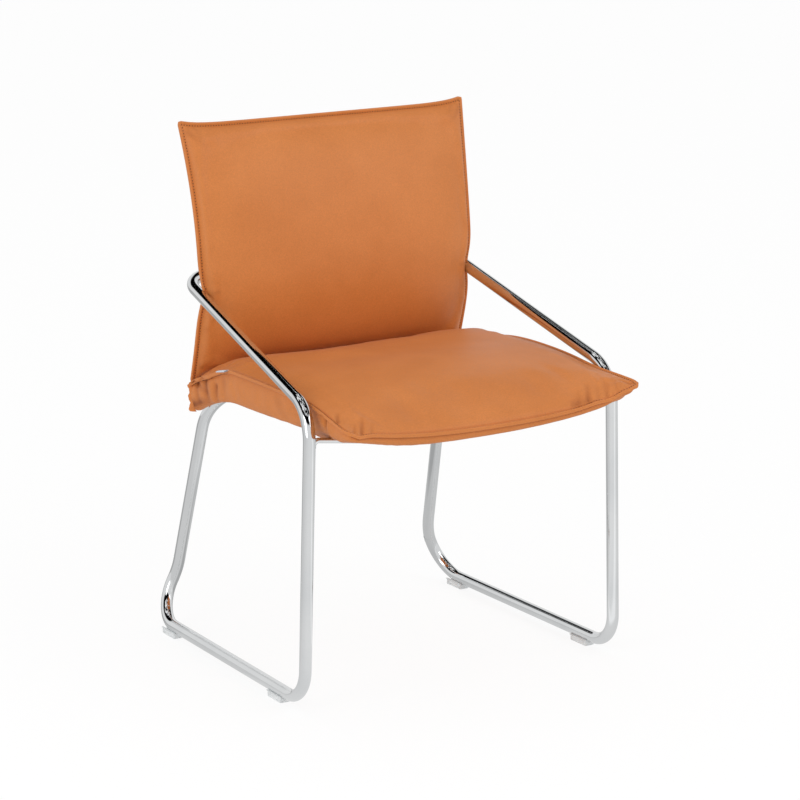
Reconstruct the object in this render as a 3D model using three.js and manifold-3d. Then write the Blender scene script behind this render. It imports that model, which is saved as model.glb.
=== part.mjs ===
// Sled base visitor chair: one bent chromed tube frame with low sloping arms, and a seat pad and a
// back pad in leather. Millimetres, +Z up. The chair faces -Y, stands on z = 0 and is symmetric
// about x = 0. The origin is on the floor under the middle of the chair.
import * as THREE from "three";
import { mergeVertices } from "three/addons/utils/BufferGeometryUtils.js";
import Module from "manifold-3d";

const wasm = await Module();
wasm.setup();

// Frame tube
const tubeRadius = 9;
const tubeWall = 2;
const tubeSides = 12;
const boreSides = 8;
const bendStepAngle = 0.27;
const footHeight = 16;
const frontLegY = -199.1;
const frontFootHalfWidth = 265;
const frontFootBend = 49;
const runnerLength = 489;
const rearFootHalfWidth = 255;
const rearFootBend = 53;
const jogHalfWidth = 225;
const jogHeight = 89.5;
const jogForward = 18;
const jogBend = 123;
const armFrontHalfWidth = 254.3;
const armFrontDrop = 3.5;
const armFrontBend = 60;
const armRearHalfWidth = 226.7;
const armOverhang = 43.4;
const armRise = 112.4;
const armRearBend = 50;
const legTopHalfWidth = 208;
const legTopSetback = 391;
const seatBarHeight = 390.6;
const legTopBend = 84;
const seatBarInset = 71;
const seatBarBend = 80;

// Clearances between pieces that touch, and the overrun of cutting tools
const contactGap = 0.3;
const boltGap = 0.35;
const cutOverrun = 6;

// Joining pins inside the tube, on the middle line
const pinHalfLength = 35;
const pinSides = 12;

// Front cross rod
const rodRadius = 4;
const rodSides = 8;
const rodEndDrop = 11.6;
const rodShoulderDrop = 1.5;
const rodEndBend = 8;
const rodSetback = 7.8;
const rodInset = 10.8;
const rodDip = 16.4;
const rodKneeHalfWidth = 122;
const rodKneeBend = 150;

// Glides under the runners
const glideLength = 40;
const glideWall = 2.4;
const glideLapAngle = 0.32;
const glideArcSteps = 8;
const glidePegRadius = 2.6;
const glidePegReach = 3;
const frontGlideSetback = 80;
const rearGlideSetback = 428;

// Leather
const leather = 2;
const lipWidth = 6.5;
const seamGap = 0.4;
const cornerLipShare = 0.55;
const padGrid = 12;

// Seat pad: the seam runs round it, low at the front and lowest at the rear corners
const seatHalfWidth = 239;
const seatWaist = 4.5;
const seatWaistSetback = 32;
const seatWaistReach = 48;
const seatFrontOverhang = 80;
const seatRearGap = 5;
const seatRearTuck = 28;
const seatDepth = 46.4;
const seatPeakShare = 0.49;
const seatFrontDrop = 15;
const seatFrontSag = 24;
const seatFrontSagReach = 30;
const seatRearDrop = 47;
const seatRearRise = 27;
const seatRearRiseShare = 0.57;
const seatCrown = 14;
const slopeShare = 0.01;
const sideLipLift = 3;
const rearLipDrop = 2;

// Seat underside and the side flaps that hang beside the rear legs
const seatRest = 0.5;
const underEdgeLift = 5;
const underEdgeFallFrom = 60;
const underEdgeFallTo = 250;
const underFlatHalfWidth = 198;
const underEdgeHalfWidth = 221;
const frontRollDepth = 14.5;
const frontRollCornerShare = 0.45;
const frontRollStart = 8;
const frontRollReach = 26;
const frontRollBulge = 3;
const frontRollFoot = 6;
const sideBulge = 1.5;
const bulgeShare = 0.45;
const sideTuck = 2;
const flapDrop = 40;
const flapFlare = 3;
const flapLead = 146;
const rearWallBulge = 7;
const rearWallFoot = 5;

// Seat board and foam
const seatBoardThickness = 10;
const seatBoardHalfWidth = 191;
const seatBoardFront = 44;
const seatBoardRearMargin = 44;
const seatBoardCorner = 30;

// Back pad: its seam plane bows back above and below the lumbar height
const backTuck = 28.5;
const backHeight = 365.5;
const backHalfWidth = 231;
const backTopFlare = 8;
const backBottomTaper = 1.5;
const backCornerLift = 6;
const lumbarLead = 27;
const lumbarRise = 4.6;
const backTopBow = 42;
const backBottomBow = 30;
const backBowPower = 1.55;
const backCrown = 42;
const backRearCrown = 36;
const armPinch = 11;
const armPinchReach = 15;

// Back board and foam
const backBoardThickness = 8;
const backBoardShare = 0.9;
const foamRelief = 2;
const foamEdge = 0.6;

// Bolts and threaded inserts
const boltRadius = 3;
const boltSides = 12;
const boltHeadRadius = 5.5;
const boltHeadHeight = 3;
const insertRadius = 4.4;
const insertFlangeRadius = 9;
const insertFlange = 1.6;
const insertBarrel = 6;
const backBoltHalfSpan = 90;
const seatBoltHalfSpan = 70;

// Spacers between the back pad and the back bar
const spacerHalfWidth = 15;
const spacerHalfHeight = 13;
const spacerWrap = 4;

// Clips that hold the seat board to the front cross rod
const clipHalfSpan = 88;
const clipHalfLength = 10;
const clipWall = 3;
const clipLip = 2.2;
const clipWing = 11;
const clipWingThickness = 4;
const screwRadius = 1.8;
const screwHeadRadius = 4;
const screwHeadHeight = 2.4;
const screwBite = 7;

// Plain tag in the left seat seam
const tagLength = 28;
const tagHeight = 9;
const tagThickness = 0.8;
const tagSetback = 285;
const tagStandOff = 2.4;
const tagDrop = 3;

// Materials
const chrome = { color: 0xd2d5d8, roughness: 0.08, metalness: 1 };
const steel = { color: 0x9a9da0, roughness: 0.4, metalness: 1 };
const tanLeather = { color: 0xc9793f, roughness: 0.5, metalness: 0 };
const foam = { color: 0xe9e2cf, roughness: 0.95, metalness: 0 };
const plywood = { color: 0xc9a878, roughness: 0.7, metalness: 0 };
const clearPlastic = { color: 0xe4e8ea, roughness: 0.35, metalness: 0 };
const blackPlastic = { color: 0x1c1c1e, roughness: 0.5, metalness: 0 };
const whiteCloth = { color: 0xe6ebf0, roughness: 0.85, metalness: 0 };

const chair = new THREE.Group();

function addPiece(name, geometry, look, parent = chair) {
  const mesh = new THREE.Mesh(geometry, new THREE.MeshStandardMaterial(look));
  mesh.name = name;
  parent.add(mesh);
  return mesh;
}

// Joining and cutting

function toSolid(geometry) {
  const plain = geometry.index ? geometry.toNonIndexed() : geometry.clone();
  plain.deleteAttribute("normal");
  plain.deleteAttribute("uv");
  const merged = mergeVertices(plain, 1e-3);
  return new wasm.Manifold(
    new wasm.Mesh({
      numProp: 3,
      vertProperties: merged.attributes.position.array,
      triVerts: new Uint32Array(merged.index.array),
    }),
  );
}

function toGeometry(solid) {
  const mesh = solid.getMesh();
  const geometry = new THREE.BufferGeometry();
  const stride = mesh.numProp;
  const positions = new Float32Array(mesh.numVert * 3);
  for (let i = 0; i < mesh.numVert; i++) {
    positions.set(mesh.vertProperties.subarray(i * stride, i * stride + 3), i * 3);
  }
  geometry.setAttribute("position", new THREE.BufferAttribute(positions, 3));
  geometry.setIndex(new THREE.BufferAttribute(mesh.triVerts, 1));
  geometry.computeVertexNormals();
  return geometry;
}

function cut(geometry, ...tools) {
  let solid = toSolid(geometry);
  for (const tool of tools) solid = solid.subtract(toSolid(tool));
  return toGeometry(solid);
}

// A straight round bar between two points.
function bar(start, end, radius, sides) {
  const along = new THREE.Vector3().subVectors(end, start);
  const geometry = new THREE.CylinderGeometry(radius, radius, along.length(), sides);
  const turn = new THREE.Quaternion();
  turn.setFromUnitVectors(new THREE.Vector3(0, 1, 0), along.clone().normalize());
  geometry.applyQuaternion(turn);
  geometry.translate(
    (start.x + end.x) / 2,
    (start.y + end.y) / 2,
    (start.z + end.z) / 2,
  );
  return geometry;
}

// A tube's centre line: straight runs joined by round bends, with a ring at each end of a bend and
// at even angles round it.
class BentLine extends THREE.Curve {
  constructor(corners, bends) {
    super();
    this.stations = [];
    const last = corners.length - 1;
    this.addStation(corners[0], direction(corners[0], corners[1]));
    for (let i = 1; i < last; i++) {
      const before = direction(corners[i - 1], corners[i]);
      const after = direction(corners[i], corners[i + 1]);
      const turn = before.angleTo(after);
      const radius = bends[i - 1];
      const start = corners[i].clone().addScaledVector(before, -radius * Math.tan(turn / 2));
      const sideways = after.clone().addScaledVector(before, -after.dot(before)).normalize();
      const centre = start.clone().addScaledVector(sideways, radius);
      const steps = Math.max(2, Math.ceil(turn / bendStepAngle));
      for (let k = 0; k <= steps; k++) {
        const angle = (turn * k) / steps;
        const point = centre.clone();
        point.addScaledVector(before, radius * Math.sin(angle));
        point.addScaledVector(sideways, -radius * Math.cos(angle));
        const tangent = before.clone().multiplyScalar(Math.cos(angle));
        tangent.addScaledVector(sideways, Math.sin(angle));
        this.addStation(point, tangent);
      }
    }
    this.addStation(corners[last], direction(corners[last - 1], corners[last]));
    this.steps = this.stations.length - 1;
  }

  addStation(point, tangent) {
    this.stations.push({ point: point.clone(), tangent: tangent.clone().normalize() });
  }

  getPointAt(share, target = new THREE.Vector3()) {
    return target.copy(this.stations[Math.round(share * this.steps)].point);
  }

  getPoint(share, target) {
    return this.getPointAt(share, target);
  }

  getTangentAt(share, target = new THREE.Vector3()) {
    return target.copy(this.stations[Math.round(share * this.steps)].tangent);
  }
}

function direction(from, to) {
  return new THREE.Vector3().subVectors(to, from).normalize();
}

function ring(radius, sides) {
  const points = [];
  for (let i = 0; i < sides; i++) {
    const angle = (2 * Math.PI * i) / sides;
    points.push(new THREE.Vector2(radius * Math.cos(angle), radius * Math.sin(angle)));
  }
  return points;
}

function sweep(line, radius, sides, boreRadius = 0) {
  const section = new THREE.Shape(ring(radius, sides));
  if (boreRadius > 0) section.holes.push(new THREE.Path(ring(boreRadius, boreSides)));
  return new THREE.ExtrudeGeometry(section, { steps: line.steps, extrudePath: line });
}

// Frame: two mirrored halves of bent tube that meet on the middle line, at the back bar and at the
// seat bar.

const underHeight = seatBarHeight + tubeRadius + seatRest;
const seatSeamTop = underHeight + seatDepth;
const armFrontHeight = seatSeamTop - armFrontDrop;
const seatLength = seatFrontOverhang + legTopSetback - seatRearGap;
const armLength = legTopSetback + armOverhang;
const lumbarSetback = legTopSetback - lumbarLead;
const seatBarY = frontLegY + legTopSetback - seatBarInset;
const backBarY = frontLegY + armLength;
const backBarHeight = armFrontHeight + armRise;

function frameCorners(side) {
  const at = (x, y, z) => new THREE.Vector3(side * x, y, z);
  return [
    at(contactGap / 2, backBarY, backBarHeight),
    at(armRearHalfWidth, backBarY, backBarHeight),
    at(armFrontHalfWidth, frontLegY, armFrontHeight),
    at(frontFootHalfWidth, frontLegY, footHeight),
    at(rearFootHalfWidth, frontLegY + runnerLength, footHeight),
    at(jogHalfWidth, frontLegY + runnerLength - jogForward, jogHeight),
    at(legTopHalfWidth, frontLegY + legTopSetback, seatBarHeight),
    at(legTopHalfWidth - seatBarInset, seatBarY, seatBarHeight),
    at(contactGap / 2, seatBarY, seatBarHeight),
  ];
}

const frameBends = [
  armRearBend,
  armFrontBend,
  frontFootBend,
  rearFootBend,
  jogBend,
  legTopBend,
  seatBarBend,
];

function runnerPoint(side, setback, height) {
  const share = setback / runnerLength;
  const halfWidth = THREE.MathUtils.lerp(frontFootHalfWidth, rearFootHalfWidth, share);
  return new THREE.Vector3(side * halfWidth, frontLegY + setback, height);
}

// A cutting tool for a bolt hole through a bar that runs along X.
function boltHole(x, y, z, axis, reach) {
  const start = new THREE.Vector3(x, y, z).addScaledVector(axis, -reach);
  const end = new THREE.Vector3(x, y, z).addScaledVector(axis, reach);
  return bar(start, end, boltRadius + boltGap, boltSides);
}

const alongY = new THREE.Vector3(0, 1, 0);
const alongZ = new THREE.Vector3(0, 0, 1);

function frameHalf(side) {
  const line = new BentLine(frameCorners(side), frameBends);
  const tube = sweep(line, tubeRadius, tubeSides, tubeRadius - tubeWall);
  const reach = tubeRadius + cutOverrun;
  const holes = [
    boltHole(side * backBoltHalfSpan, backBarY, backBarHeight, alongY, reach),
    boltHole(side * seatBoltHalfSpan, seatBarY, seatBarHeight, alongZ, reach),
  ];
  for (const setback of [frontGlideSetback, rearGlideSetback]) {
    const low = runnerPoint(side, setback, footHeight - reach);
    const high = runnerPoint(side, setback, footHeight);
    holes.push(bar(low, high, glidePegRadius + contactGap, boltSides));
  }
  return cut(tube, ...holes);
}

const sides = [
  { name: "left", side: -1 },
  { name: "right", side: 1 },
];

for (const { name, side } of sides) addPiece("frame_tube_" + name, frameHalf(side), chrome);

// Joining pins: turned bars that slide into both halves of the tube.

const boreFlat = (tubeRadius - tubeWall) * Math.cos(Math.PI / boreSides);

function joiningPin(y, z) {
  const start = new THREE.Vector3(-pinHalfLength, y, z);
  const end = new THREE.Vector3(pinHalfLength, y, z);
  return bar(start, end, boreFlat - contactGap, pinSides);
}

addPiece("back_bar_joining_pin", joiningPin(backBarY, backBarHeight), steel);
addPiece("seat_bar_joining_pin", joiningPin(seatBarY, seatBarHeight), steel);

// Front cross rod: its ends turn down behind the legs, where they are welded, and its middle dips.

function legHalfWidthAt(height) {
  const share = (height - footHeight) / (armFrontHeight - footHeight);
  return THREE.MathUtils.lerp(frontFootHalfWidth, armFrontHalfWidth, share);
}

const rodShoulderHeight = underHeight - rodShoulderDrop;
const rodEndHeight = rodShoulderHeight - rodEndDrop;
const rodFootX = legHalfWidthAt(rodEndHeight) - rodInset;
const rodTopX = legHalfWidthAt(rodShoulderHeight) - rodInset;
const rodY = frontLegY + rodSetback;
const rodMiddleHeight = rodShoulderHeight - rodDip;

const rodLine = new BentLine(
  [
    new THREE.Vector3(-rodFootX, rodY, rodEndHeight),
    new THREE.Vector3(-rodTopX, rodY, rodShoulderHeight),
    new THREE.Vector3(-rodKneeHalfWidth, rodY, rodMiddleHeight),
    new THREE.Vector3(rodKneeHalfWidth, rodY, rodMiddleHeight),
    new THREE.Vector3(rodTopX, rodY, rodShoulderHeight),
    new THREE.Vector3(rodFootX, rodY, rodEndHeight),
  ],
  [rodEndBend, rodKneeBend, rodKneeBend, rodEndBend],
);
addPiece("front_cross_rod", sweep(rodLine, rodRadius, rodSides), chrome);

// Glides: moulded saddles that hug the underside of the runner, each with a peg in the tube.

function glideGeometry() {
  const innerRadius = tubeRadius + contactGap;
  const outerRadius = innerRadius + glideWall;
  const shape = new THREE.Shape();
  const first = Math.PI + glideLapAngle;
  const sweepAngle = Math.PI - 2 * glideLapAngle;
  for (let i = 0; i <= glideArcSteps; i++) {
    const angle = first + (sweepAngle * i) / glideArcSteps;
    const point = [innerRadius * Math.cos(angle), innerRadius * Math.sin(angle)];
    if (i === 0) shape.moveTo(...point);
    else shape.lineTo(...point);
  }
  const topX = outerRadius * Math.cos(glideLapAngle);
  const topY = -outerRadius * Math.sin(glideLapAngle);
  shape.lineTo(topX, topY);
  shape.lineTo(innerRadius, -footHeight + glideWall);
  shape.lineTo(innerRadius - glideWall, -footHeight);
  shape.lineTo(glideWall - innerRadius, -footHeight);
  shape.lineTo(-innerRadius, -footHeight + glideWall);
  shape.lineTo(-topX, topY);
  shape.closePath();
  const body = new THREE.ExtrudeGeometry(shape, { depth: glideLength, bevelEnabled: false });
  body.translate(0, 0, -glideLength / 2);
  body.rotateX(Math.PI / 2);
  const pegFoot = new THREE.Vector3(0, 0, -innerRadius - glideWall);
  const pegTop = new THREE.Vector3(0, 0, -tubeRadius + tubeWall + glidePegReach);
  const peg = bar(pegFoot, pegTop, glidePegRadius, boltSides);
  return toGeometry(toSolid(body).add(toSolid(peg)));
}

const runnerTurn = Math.atan2(frontFootHalfWidth - rearFootHalfWidth, runnerLength);

for (const { name, side } of sides) {
  const places = [
    ["front", frontGlideSetback],
    ["rear", rearGlideSetback],
  ];
  for (const [end, setback] of places) {
    const glide = addPiece("glide_" + end + "_" + name, glideGeometry(), clearPlastic);
    glide.position.copy(runnerPoint(side, setback, footHeight));
    glide.rotation.z = side * runnerTurn;
  }
}

// Sheets: a grid of points seen from outside, with a second grid behind it, closed round the rim.

function faceNormal(grid, j, i) {
  const first = new THREE.Vector3().subVectors(grid[j + 1][i + 1], grid[j][i]);
  const second = new THREE.Vector3().subVectors(grid[j + 1][i], grid[j][i + 1]);
  return first.cross(second).normalize();
}

// Moves every point back by the depth, square to the faces that meet there.
function offsetGrid(grid, depth) {
  const rows = grid.length;
  const columns = grid[0].length;
  return grid.map((row, j) =>
    row.map((point, i) => {
      const normals = [];
      for (const b of [j - 1, j]) {
        for (const a of [i - 1, i]) {
          if (a >= 0 && b >= 0 && a < columns - 1 && b < rows - 1) {
            normals.push(faceNormal(grid, b, a));
          }
        }
      }
      const mean = new THREE.Vector3();
      for (const normal of normals) mean.add(normal);
      mean.normalize();
      const spread = Math.min(...normals.map((normal) => normal.dot(mean)));
      return point.clone().addScaledVector(mean, -depth / Math.max(spread, 0.92));
    }),
  );
}

function closedSheet(outer, inner) {
  const rows = outer.length;
  const columns = outer[0].length;
  const positions = [];
  for (const grid of [outer, inner]) {
    for (const row of grid) for (const p of row) positions.push(p.x, p.y, p.z);
  }
  const index = [];
  const id = (layer, j, i) => layer * rows * columns + j * columns + i;
  const quad = (a, b, c, d) => index.push(a, b, c, a, c, d);
  const top = rows - 1;
  const end = columns - 1;
  for (let j = 0; j < top; j++) {
    for (let i = 0; i < end; i++) {
      quad(id(0, j, i), id(0, j, i + 1), id(0, j + 1, i + 1), id(0, j + 1, i));
      quad(id(1, j, i), id(1, j + 1, i), id(1, j + 1, i + 1), id(1, j, i + 1));
    }
  }
  for (let i = 0; i < end; i++) {
    quad(id(0, 0, i), id(1, 0, i), id(1, 0, i + 1), id(0, 0, i + 1));
    quad(id(0, top, i), id(0, top, i + 1), id(1, top, i + 1), id(1, top, i));
  }
  for (let j = 0; j < top; j++) {
    quad(id(0, j, 0), id(0, j + 1, 0), id(1, j + 1, 0), id(1, j, 0));
    quad(id(0, j, end), id(1, j, end), id(1, j + 1, end), id(0, j + 1, end));
  }
  const geometry = new THREE.BufferGeometry();
  geometry.setAttribute("position", new THREE.Float32BufferAttribute(positions, 3));
  geometry.setIndex(index);
  return geometry;
}

const leatherSheet = (outer) => closedSheet(outer, offsetGrid(outer, leather));
const mirroredRows = (grid) => grid.map((row) => [...row].reverse());
const shifted = (grid, offset) => grid.map((row) => row.map((p) => p.clone().add(offset)));
const mix = THREE.MathUtils.lerp;
const ease = THREE.MathUtils.smoothstep;

// Shares from -1 to 1, closer together near the ends.
function crowdedShares(reach) {
  const shares = [];
  for (let i = 0; i <= padGrid; i++) {
    shares.push(reach * Math.sin((Math.PI / 2) * ((2 * i) / padGrid - 1)));
  }
  return shares;
}

// How far a pillow stands out, from 0 at its seams to 1 in the middle.
function pillow(across, along) {
  const side = Math.max(1 - Math.abs(across) ** 2.6, 0);
  const end = Math.max(1 - Math.abs(along) ** 2.6, 0);
  return Math.sqrt(side * end);
}

// A grid over a pad. With a lip, the first and last row and column are the lip's edge.
function padGridPoints(across, along, withLip, place) {
  const columns = withLip ? [-1, ...across, 1] : across;
  const rows = withLip ? [-1, ...along, 1] : along;
  const lipOf = (k, list) => {
    if (!withLip || (k > 0 && k < list.length - 1)) return 0;
    return k === 0 ? -1 : 1;
  };
  return rows.map((t, j) => columns.map((s, i) => place(s, t, lipOf(i, columns), lipOf(j, rows))));
}

// Fixings

// A turned piece on the axis from one point towards another. Stations are [distance, radius].
function turned(from, towards, stations) {
  const points = stations.map(([distance, radius]) => new THREE.Vector2(radius, distance));
  const geometry = new THREE.LatheGeometry(points, boltSides);
  const turn = new THREE.Quaternion();
  turn.setFromUnitVectors(alongY, direction(from, towards));
  geometry.applyQuaternion(turn);
  geometry.translate(from.x, from.y, from.z);
  return geometry;
}

function bolt(from, to, radius, headRadius, headHeight) {
  const reach = from.distanceTo(to);
  return turned(from, to, [
    [-headHeight, 0],
    [-headHeight, headRadius],
    [0, headRadius],
    [0, radius],
    [reach, radius],
    [reach, 0],
  ]);
}

// A threaded insert: a barrel in the board and a flange on its far face.
function insert(from, towards) {
  const bore = boltRadius + contactGap;
  return turned(from, towards, [
    [-insertBarrel, bore],
    [-insertBarrel, insertRadius],
    [contactGap, insertRadius],
    [contactGap, insertFlangeRadius],
    [contactGap + insertFlange, insertFlangeRadius],
    [contactGap + insertFlange, bore],
    [-insertBarrel, bore],
  ]);
}

function box(low, high) {
  const size = new THREE.Vector3().subVectors(high, low);
  const geometry = new THREE.BoxGeometry(size.x, size.y, size.z);
  geometry.translate((low.x + high.x) / 2, (low.y + high.y) / 2, (low.z + high.z) / 2);
  return geometry;
}

// Back pad: a front and a rear leather panel sewn together in a flat lip all round, over a board
// with foam on both faces.

const backBottom = seatSeamTop - backTuck;
const lumbarHeight = backBarHeight + lumbarRise;
const armPinchHeight = armFrontHeight + (armRise * lumbarSetback) / armLength;

function backHalfWidthAt(height) {
  const share = (2 * (height - backBottom)) / backHeight - 1;
  const flare = share > 0 ? backTopFlare : -backBottomTaper;
  const pinch = armPinch * Math.exp(-(((height - armPinchHeight) / armPinchReach) ** 2));
  return backHalfWidth + flare * share * share - pinch;
}

function backSeamY(height) {
  const above = height > lumbarHeight;
  const bow = above ? backTopBow : backBottomBow;
  const span = above ? backBottom + backHeight - lumbarHeight : lumbarHeight - backBottom;
  const share = Math.abs(height - lumbarHeight) / span;
  return frontLegY + lumbarSetback + bow * share ** backBowPower;
}

function backPoint(across, along, lipAcross, lipAlong, depth) {
  const lift = backCornerLift * Math.abs(across) ** 10 * ease(along, 0.6, 1);
  const height = backBottom + (backHeight * (along + 1)) / 2 + lift;
  const x = across * backHalfWidthAt(height) + lipAcross * lipWidth;
  return new THREE.Vector3(x, backSeamY(height) + depth, height + lipAlong * lipWidth);
}

// Rows of the back pad: three of them follow the pinch at the arms.
function backRows(reach) {
  const pinchShares = [-1, 0, 1].map(
    (step) => (2 * (armPinchHeight + step * armPinchReach - backBottom)) / backHeight - 1,
  );
  const clear = armPinchReach / backHeight;
  const plain = crowdedShares(reach).filter((share) =>
    pinchShares.every((other) => Math.abs(share - other) > clear),
  );
  return [...plain, ...pinchShares].sort((a, b) => a - b);
}

const backFront = (s, t, lipAcross = 0, lipAlong = 0) =>
  backPoint(s, t, lipAcross, lipAlong, -seamGap - leather - backCrown * pillow(s, t));
const backRear = (s, t, lipAcross = 0, lipAlong = 0) =>
  backPoint(s, t, lipAcross, lipAlong, seamGap + leather + backRearCrown * pillow(s, t));

const backFrontGrid = padGridPoints(crowdedShares(1), backRows(1), true, backFront);
const backRearGrid = mirroredRows(padGridPoints(crowdedShares(1), backRows(1), true, backRear));

// The leather keeps clear of the arm tubes.
const armClearances = sides.map(({ side }) => {
  const line = new BentLine(frameCorners(side).slice(0, 4), frameBends.slice(0, 2));
  return sweep(line, tubeRadius + contactGap, tubeSides);
});

function backBolt(side) {
  const x = side * backBoltHalfSpan;
  const from = new THREE.Vector3(x, backBarY + tubeRadius + contactGap, backBarHeight);
  const boardFace = backSeamY(backBarHeight) - backBoardThickness / 2;
  const to = new THREE.Vector3(x, boardFace - insertFlange, backBarHeight);
  return { from, to, boardFace: new THREE.Vector3(x, boardFace, backBarHeight) };
}

const backBolts = sides.map(({ side }) => backBolt(side));
const backBoltHoles = backBolts.map(({ from, to }) => bar(from, to, boltRadius + boltGap, boltSides));
const insertHoles = (places, normal) =>
  places.map(({ boardFace }) => {
    const start = boardFace.clone().addScaledVector(normal, cutOverrun);
    const end = boardFace.clone().addScaledVector(normal, -backBoardThickness - cutOverrun);
    return bar(start, end, insertRadius + contactGap, boltSides);
  });

const backRearPanel = cut(leatherSheet(backRearGrid), ...armClearances, ...backBoltHoles);
addPiece("back_cover_front", cut(leatherSheet(backFrontGrid), ...armClearances), tanLeather);
addPiece("back_cover_rear", backRearPanel, tanLeather);

const forward = new THREE.Vector3(0, -1, 0);
const boardHalf = backBoardThickness / 2;

const withoutLip = (grid) => grid.slice(2, -2).map((row) => row.slice(2, -2));

// Foam fills a leather panel up to the board, and thins out towards the seam.
function foamUnder(coverGrid) {
  const face = withoutLip(offsetGrid(coverGrid, leather + contactGap));
  const floor = face.map((row) =>
    row.map((p) => {
      const seam = backSeamY(p.z);
      const room = Math.abs(p.y - seam);
      const depth = Math.min(boardHalf + contactGap, Math.max(room / 2, room - foamEdge));
      return new THREE.Vector3(p.x, seam + Math.sign(p.y - seam) * depth, p.z);
    }),
  );
  return closedSheet(face, floor);
}

const backFoamFront = foamUnder(backFrontGrid);
const backFoamRear = foamUnder(backRearGrid);
const flangeWells = backBolts.map(({ boardFace }) => {
  const start = boardFace.clone().addScaledVector(forward, -cutOverrun);
  const end = boardFace.clone().addScaledVector(forward, insertFlange + 2 * contactGap);
  return bar(start, end, insertFlangeRadius + foamRelief, boltSides);
});

const boardRows = backRows(1).filter((share) => Math.abs(share) < backBoardShare);
const boardSheet = (depth) =>
  padGridPoints([-backBoardShare, backBoardShare], boardRows, false, (s, t) =>
    backPoint(s, t, 0, 0, depth),
  );
const backBoard = closedSheet(boardSheet(-boardHalf), boardSheet(boardHalf));

addPiece("back_board", cut(backBoard, ...insertHoles(backBolts, forward)), plywood);
addPiece("back_foam_front", cut(backFoamFront, ...flangeWells), foam);
addPiece("back_foam_rear", cut(backFoamRear, ...backBoltHoles), foam);

// Spacers hold the pad off the back bar; each is hollowed to sit on the leather and on the tube.

const padBody = closedSheet(
  shifted(backRearGrid, new THREE.Vector3(0, contactGap, 0)),
  shifted(backRearGrid, new THREE.Vector3(0, -backRearCrown, 0)),
);
const backBarClearance = bar(
  new THREE.Vector3(-armRearHalfWidth, backBarY, backBarHeight),
  new THREE.Vector3(armRearHalfWidth, backBarY, backBarHeight),
  tubeRadius + contactGap,
  tubeSides,
);

sides.forEach(({ name, side }, k) => {
  const x = side * backBoltHalfSpan;
  const front = backSeamY(backBarHeight) + backRearCrown / 2;
  const low = new THREE.Vector3(x - spacerHalfWidth, front, backBarHeight - spacerHalfHeight);
  const rear = backBarY - tubeRadius + spacerWrap;
  const high = new THREE.Vector3(x + spacerHalfWidth, rear, backBarHeight + spacerHalfHeight);
  const spacer = cut(box(low, high), padBody, backBarClearance, backBoltHoles[k]);
  addPiece("back_spacer_" + name, spacer, blackPlastic);
  const { from, to, boardFace } = backBolts[k];
  const screw = bolt(from, to, boltRadius, boltHeadRadius, boltHeadHeight);
  addPiece("back_bolt_" + name, screw, steel);
  const nut = insert(boardFace, boardFace.clone().add(forward));
  addPiece("back_insert_" + name, nut, steel);
});

// Seat pad: one seam runs all the way round, between a crowned top panel and an under panel that
// forms the side walls, the underside and a flap at each rear corner.

function seatSideHeight(share) {
  const fore = share < seatPeakShare;
  const away = fore ? 1 - share / seatPeakShare : (share - seatPeakShare) / (1 - seatPeakShare);
  return seatSeamTop - (fore ? seatFrontDrop * away ** 2 : seatRearDrop * away ** 2.95);
}

function seatMiddleHeight(across, share) {
  const distance = share * seatLength;
  const sag = seatFrontSag * (1 - Math.abs(across) ** 2.2);
  const rise = seatRearRise * (1 - Math.abs(across) ** 8) * ease(share, seatRearRiseShare, 1);
  return seatSideHeight(share) - sag * Math.exp(-distance / seatFrontSagReach) + rise;
}

// How far a panel's outer face stands off the seam, upright, where the seam slopes.
function seamStandOff(across, share) {
  const ahead = seatMiddleHeight(across, share + slopeShare);
  const behind = seatMiddleHeight(across, share - slopeShare);
  return (seamGap + leather) * Math.hypot(1, (ahead - behind) / (2 * slopeShare * seatLength));
}

function seatY(across, share) {
  const length = seatLength - seatRearTuck * (1 - Math.abs(across) ** 4);
  return frontLegY - seatFrontOverhang + length * share;
}

function seatHalfWidthAt(y) {
  return seatHalfWidth - seatWaist * Math.exp(-(((y - frontLegY - seatWaistSetback) / seatWaistReach) ** 2));
}

// The lip is narrower at the corners, which are rounded off.
const lipReach = (lipAcross, lipAlong) =>
  lipAcross !== 0 && lipAlong !== 0 ? lipWidth * cornerLipShare : lipWidth;

function seatSeamPoint(across, share, lipAcross, lipAlong, height) {
  const reach = lipReach(lipAcross, lipAlong);
  const y = seatY(across, share) + lipAlong * reach;
  const slant = reach / lipWidth;
  const lift = (Math.abs(lipAcross) * sideLipLift - Math.max(lipAlong, 0) * rearLipDrop) * slant;
  const x = across * seatHalfWidthAt(y) + lipAcross * reach;
  return new THREE.Vector3(x, y, seatMiddleHeight(across, share) + lift + height);
}

const seatTop = (s, t, lipAcross = 0, lipAlong = 0) => {
  const share = (t + 1) / 2;
  const height = seamStandOff(s, share) + seatCrown * pillow(s, t);
  return seatSeamPoint(s, share, lipAcross, lipAlong, height);
};
// Both panels use these columns and rows, so that their lips meet. Positive columns only.
const seatColumnShares = [0.28, 0.55, 0.828, 0.925, 0.966, 1];
const seatRowShares = [0.017, 0.075, 0.14, 0.25, 0.4, 0.55, 0.68, 0.78, 0.87, 0.93, 0.991];
const seatColumns = [
  ...[...seatColumnShares].reverse().map((share) => -share),
  0,
  ...seatColumnShares,
];
const seatRows = [0, ...seatRowShares, 1].map((share) => 2 * share - 1);
const seatTopGrid = padGridPoints(seatColumns, seatRows, true, seatTop);
const seatTopPanel = leatherSheet(seatTopGrid);
addPiece("seat_cover_top", cut(seatTopPanel, ...armClearances), tanLeather);

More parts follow.
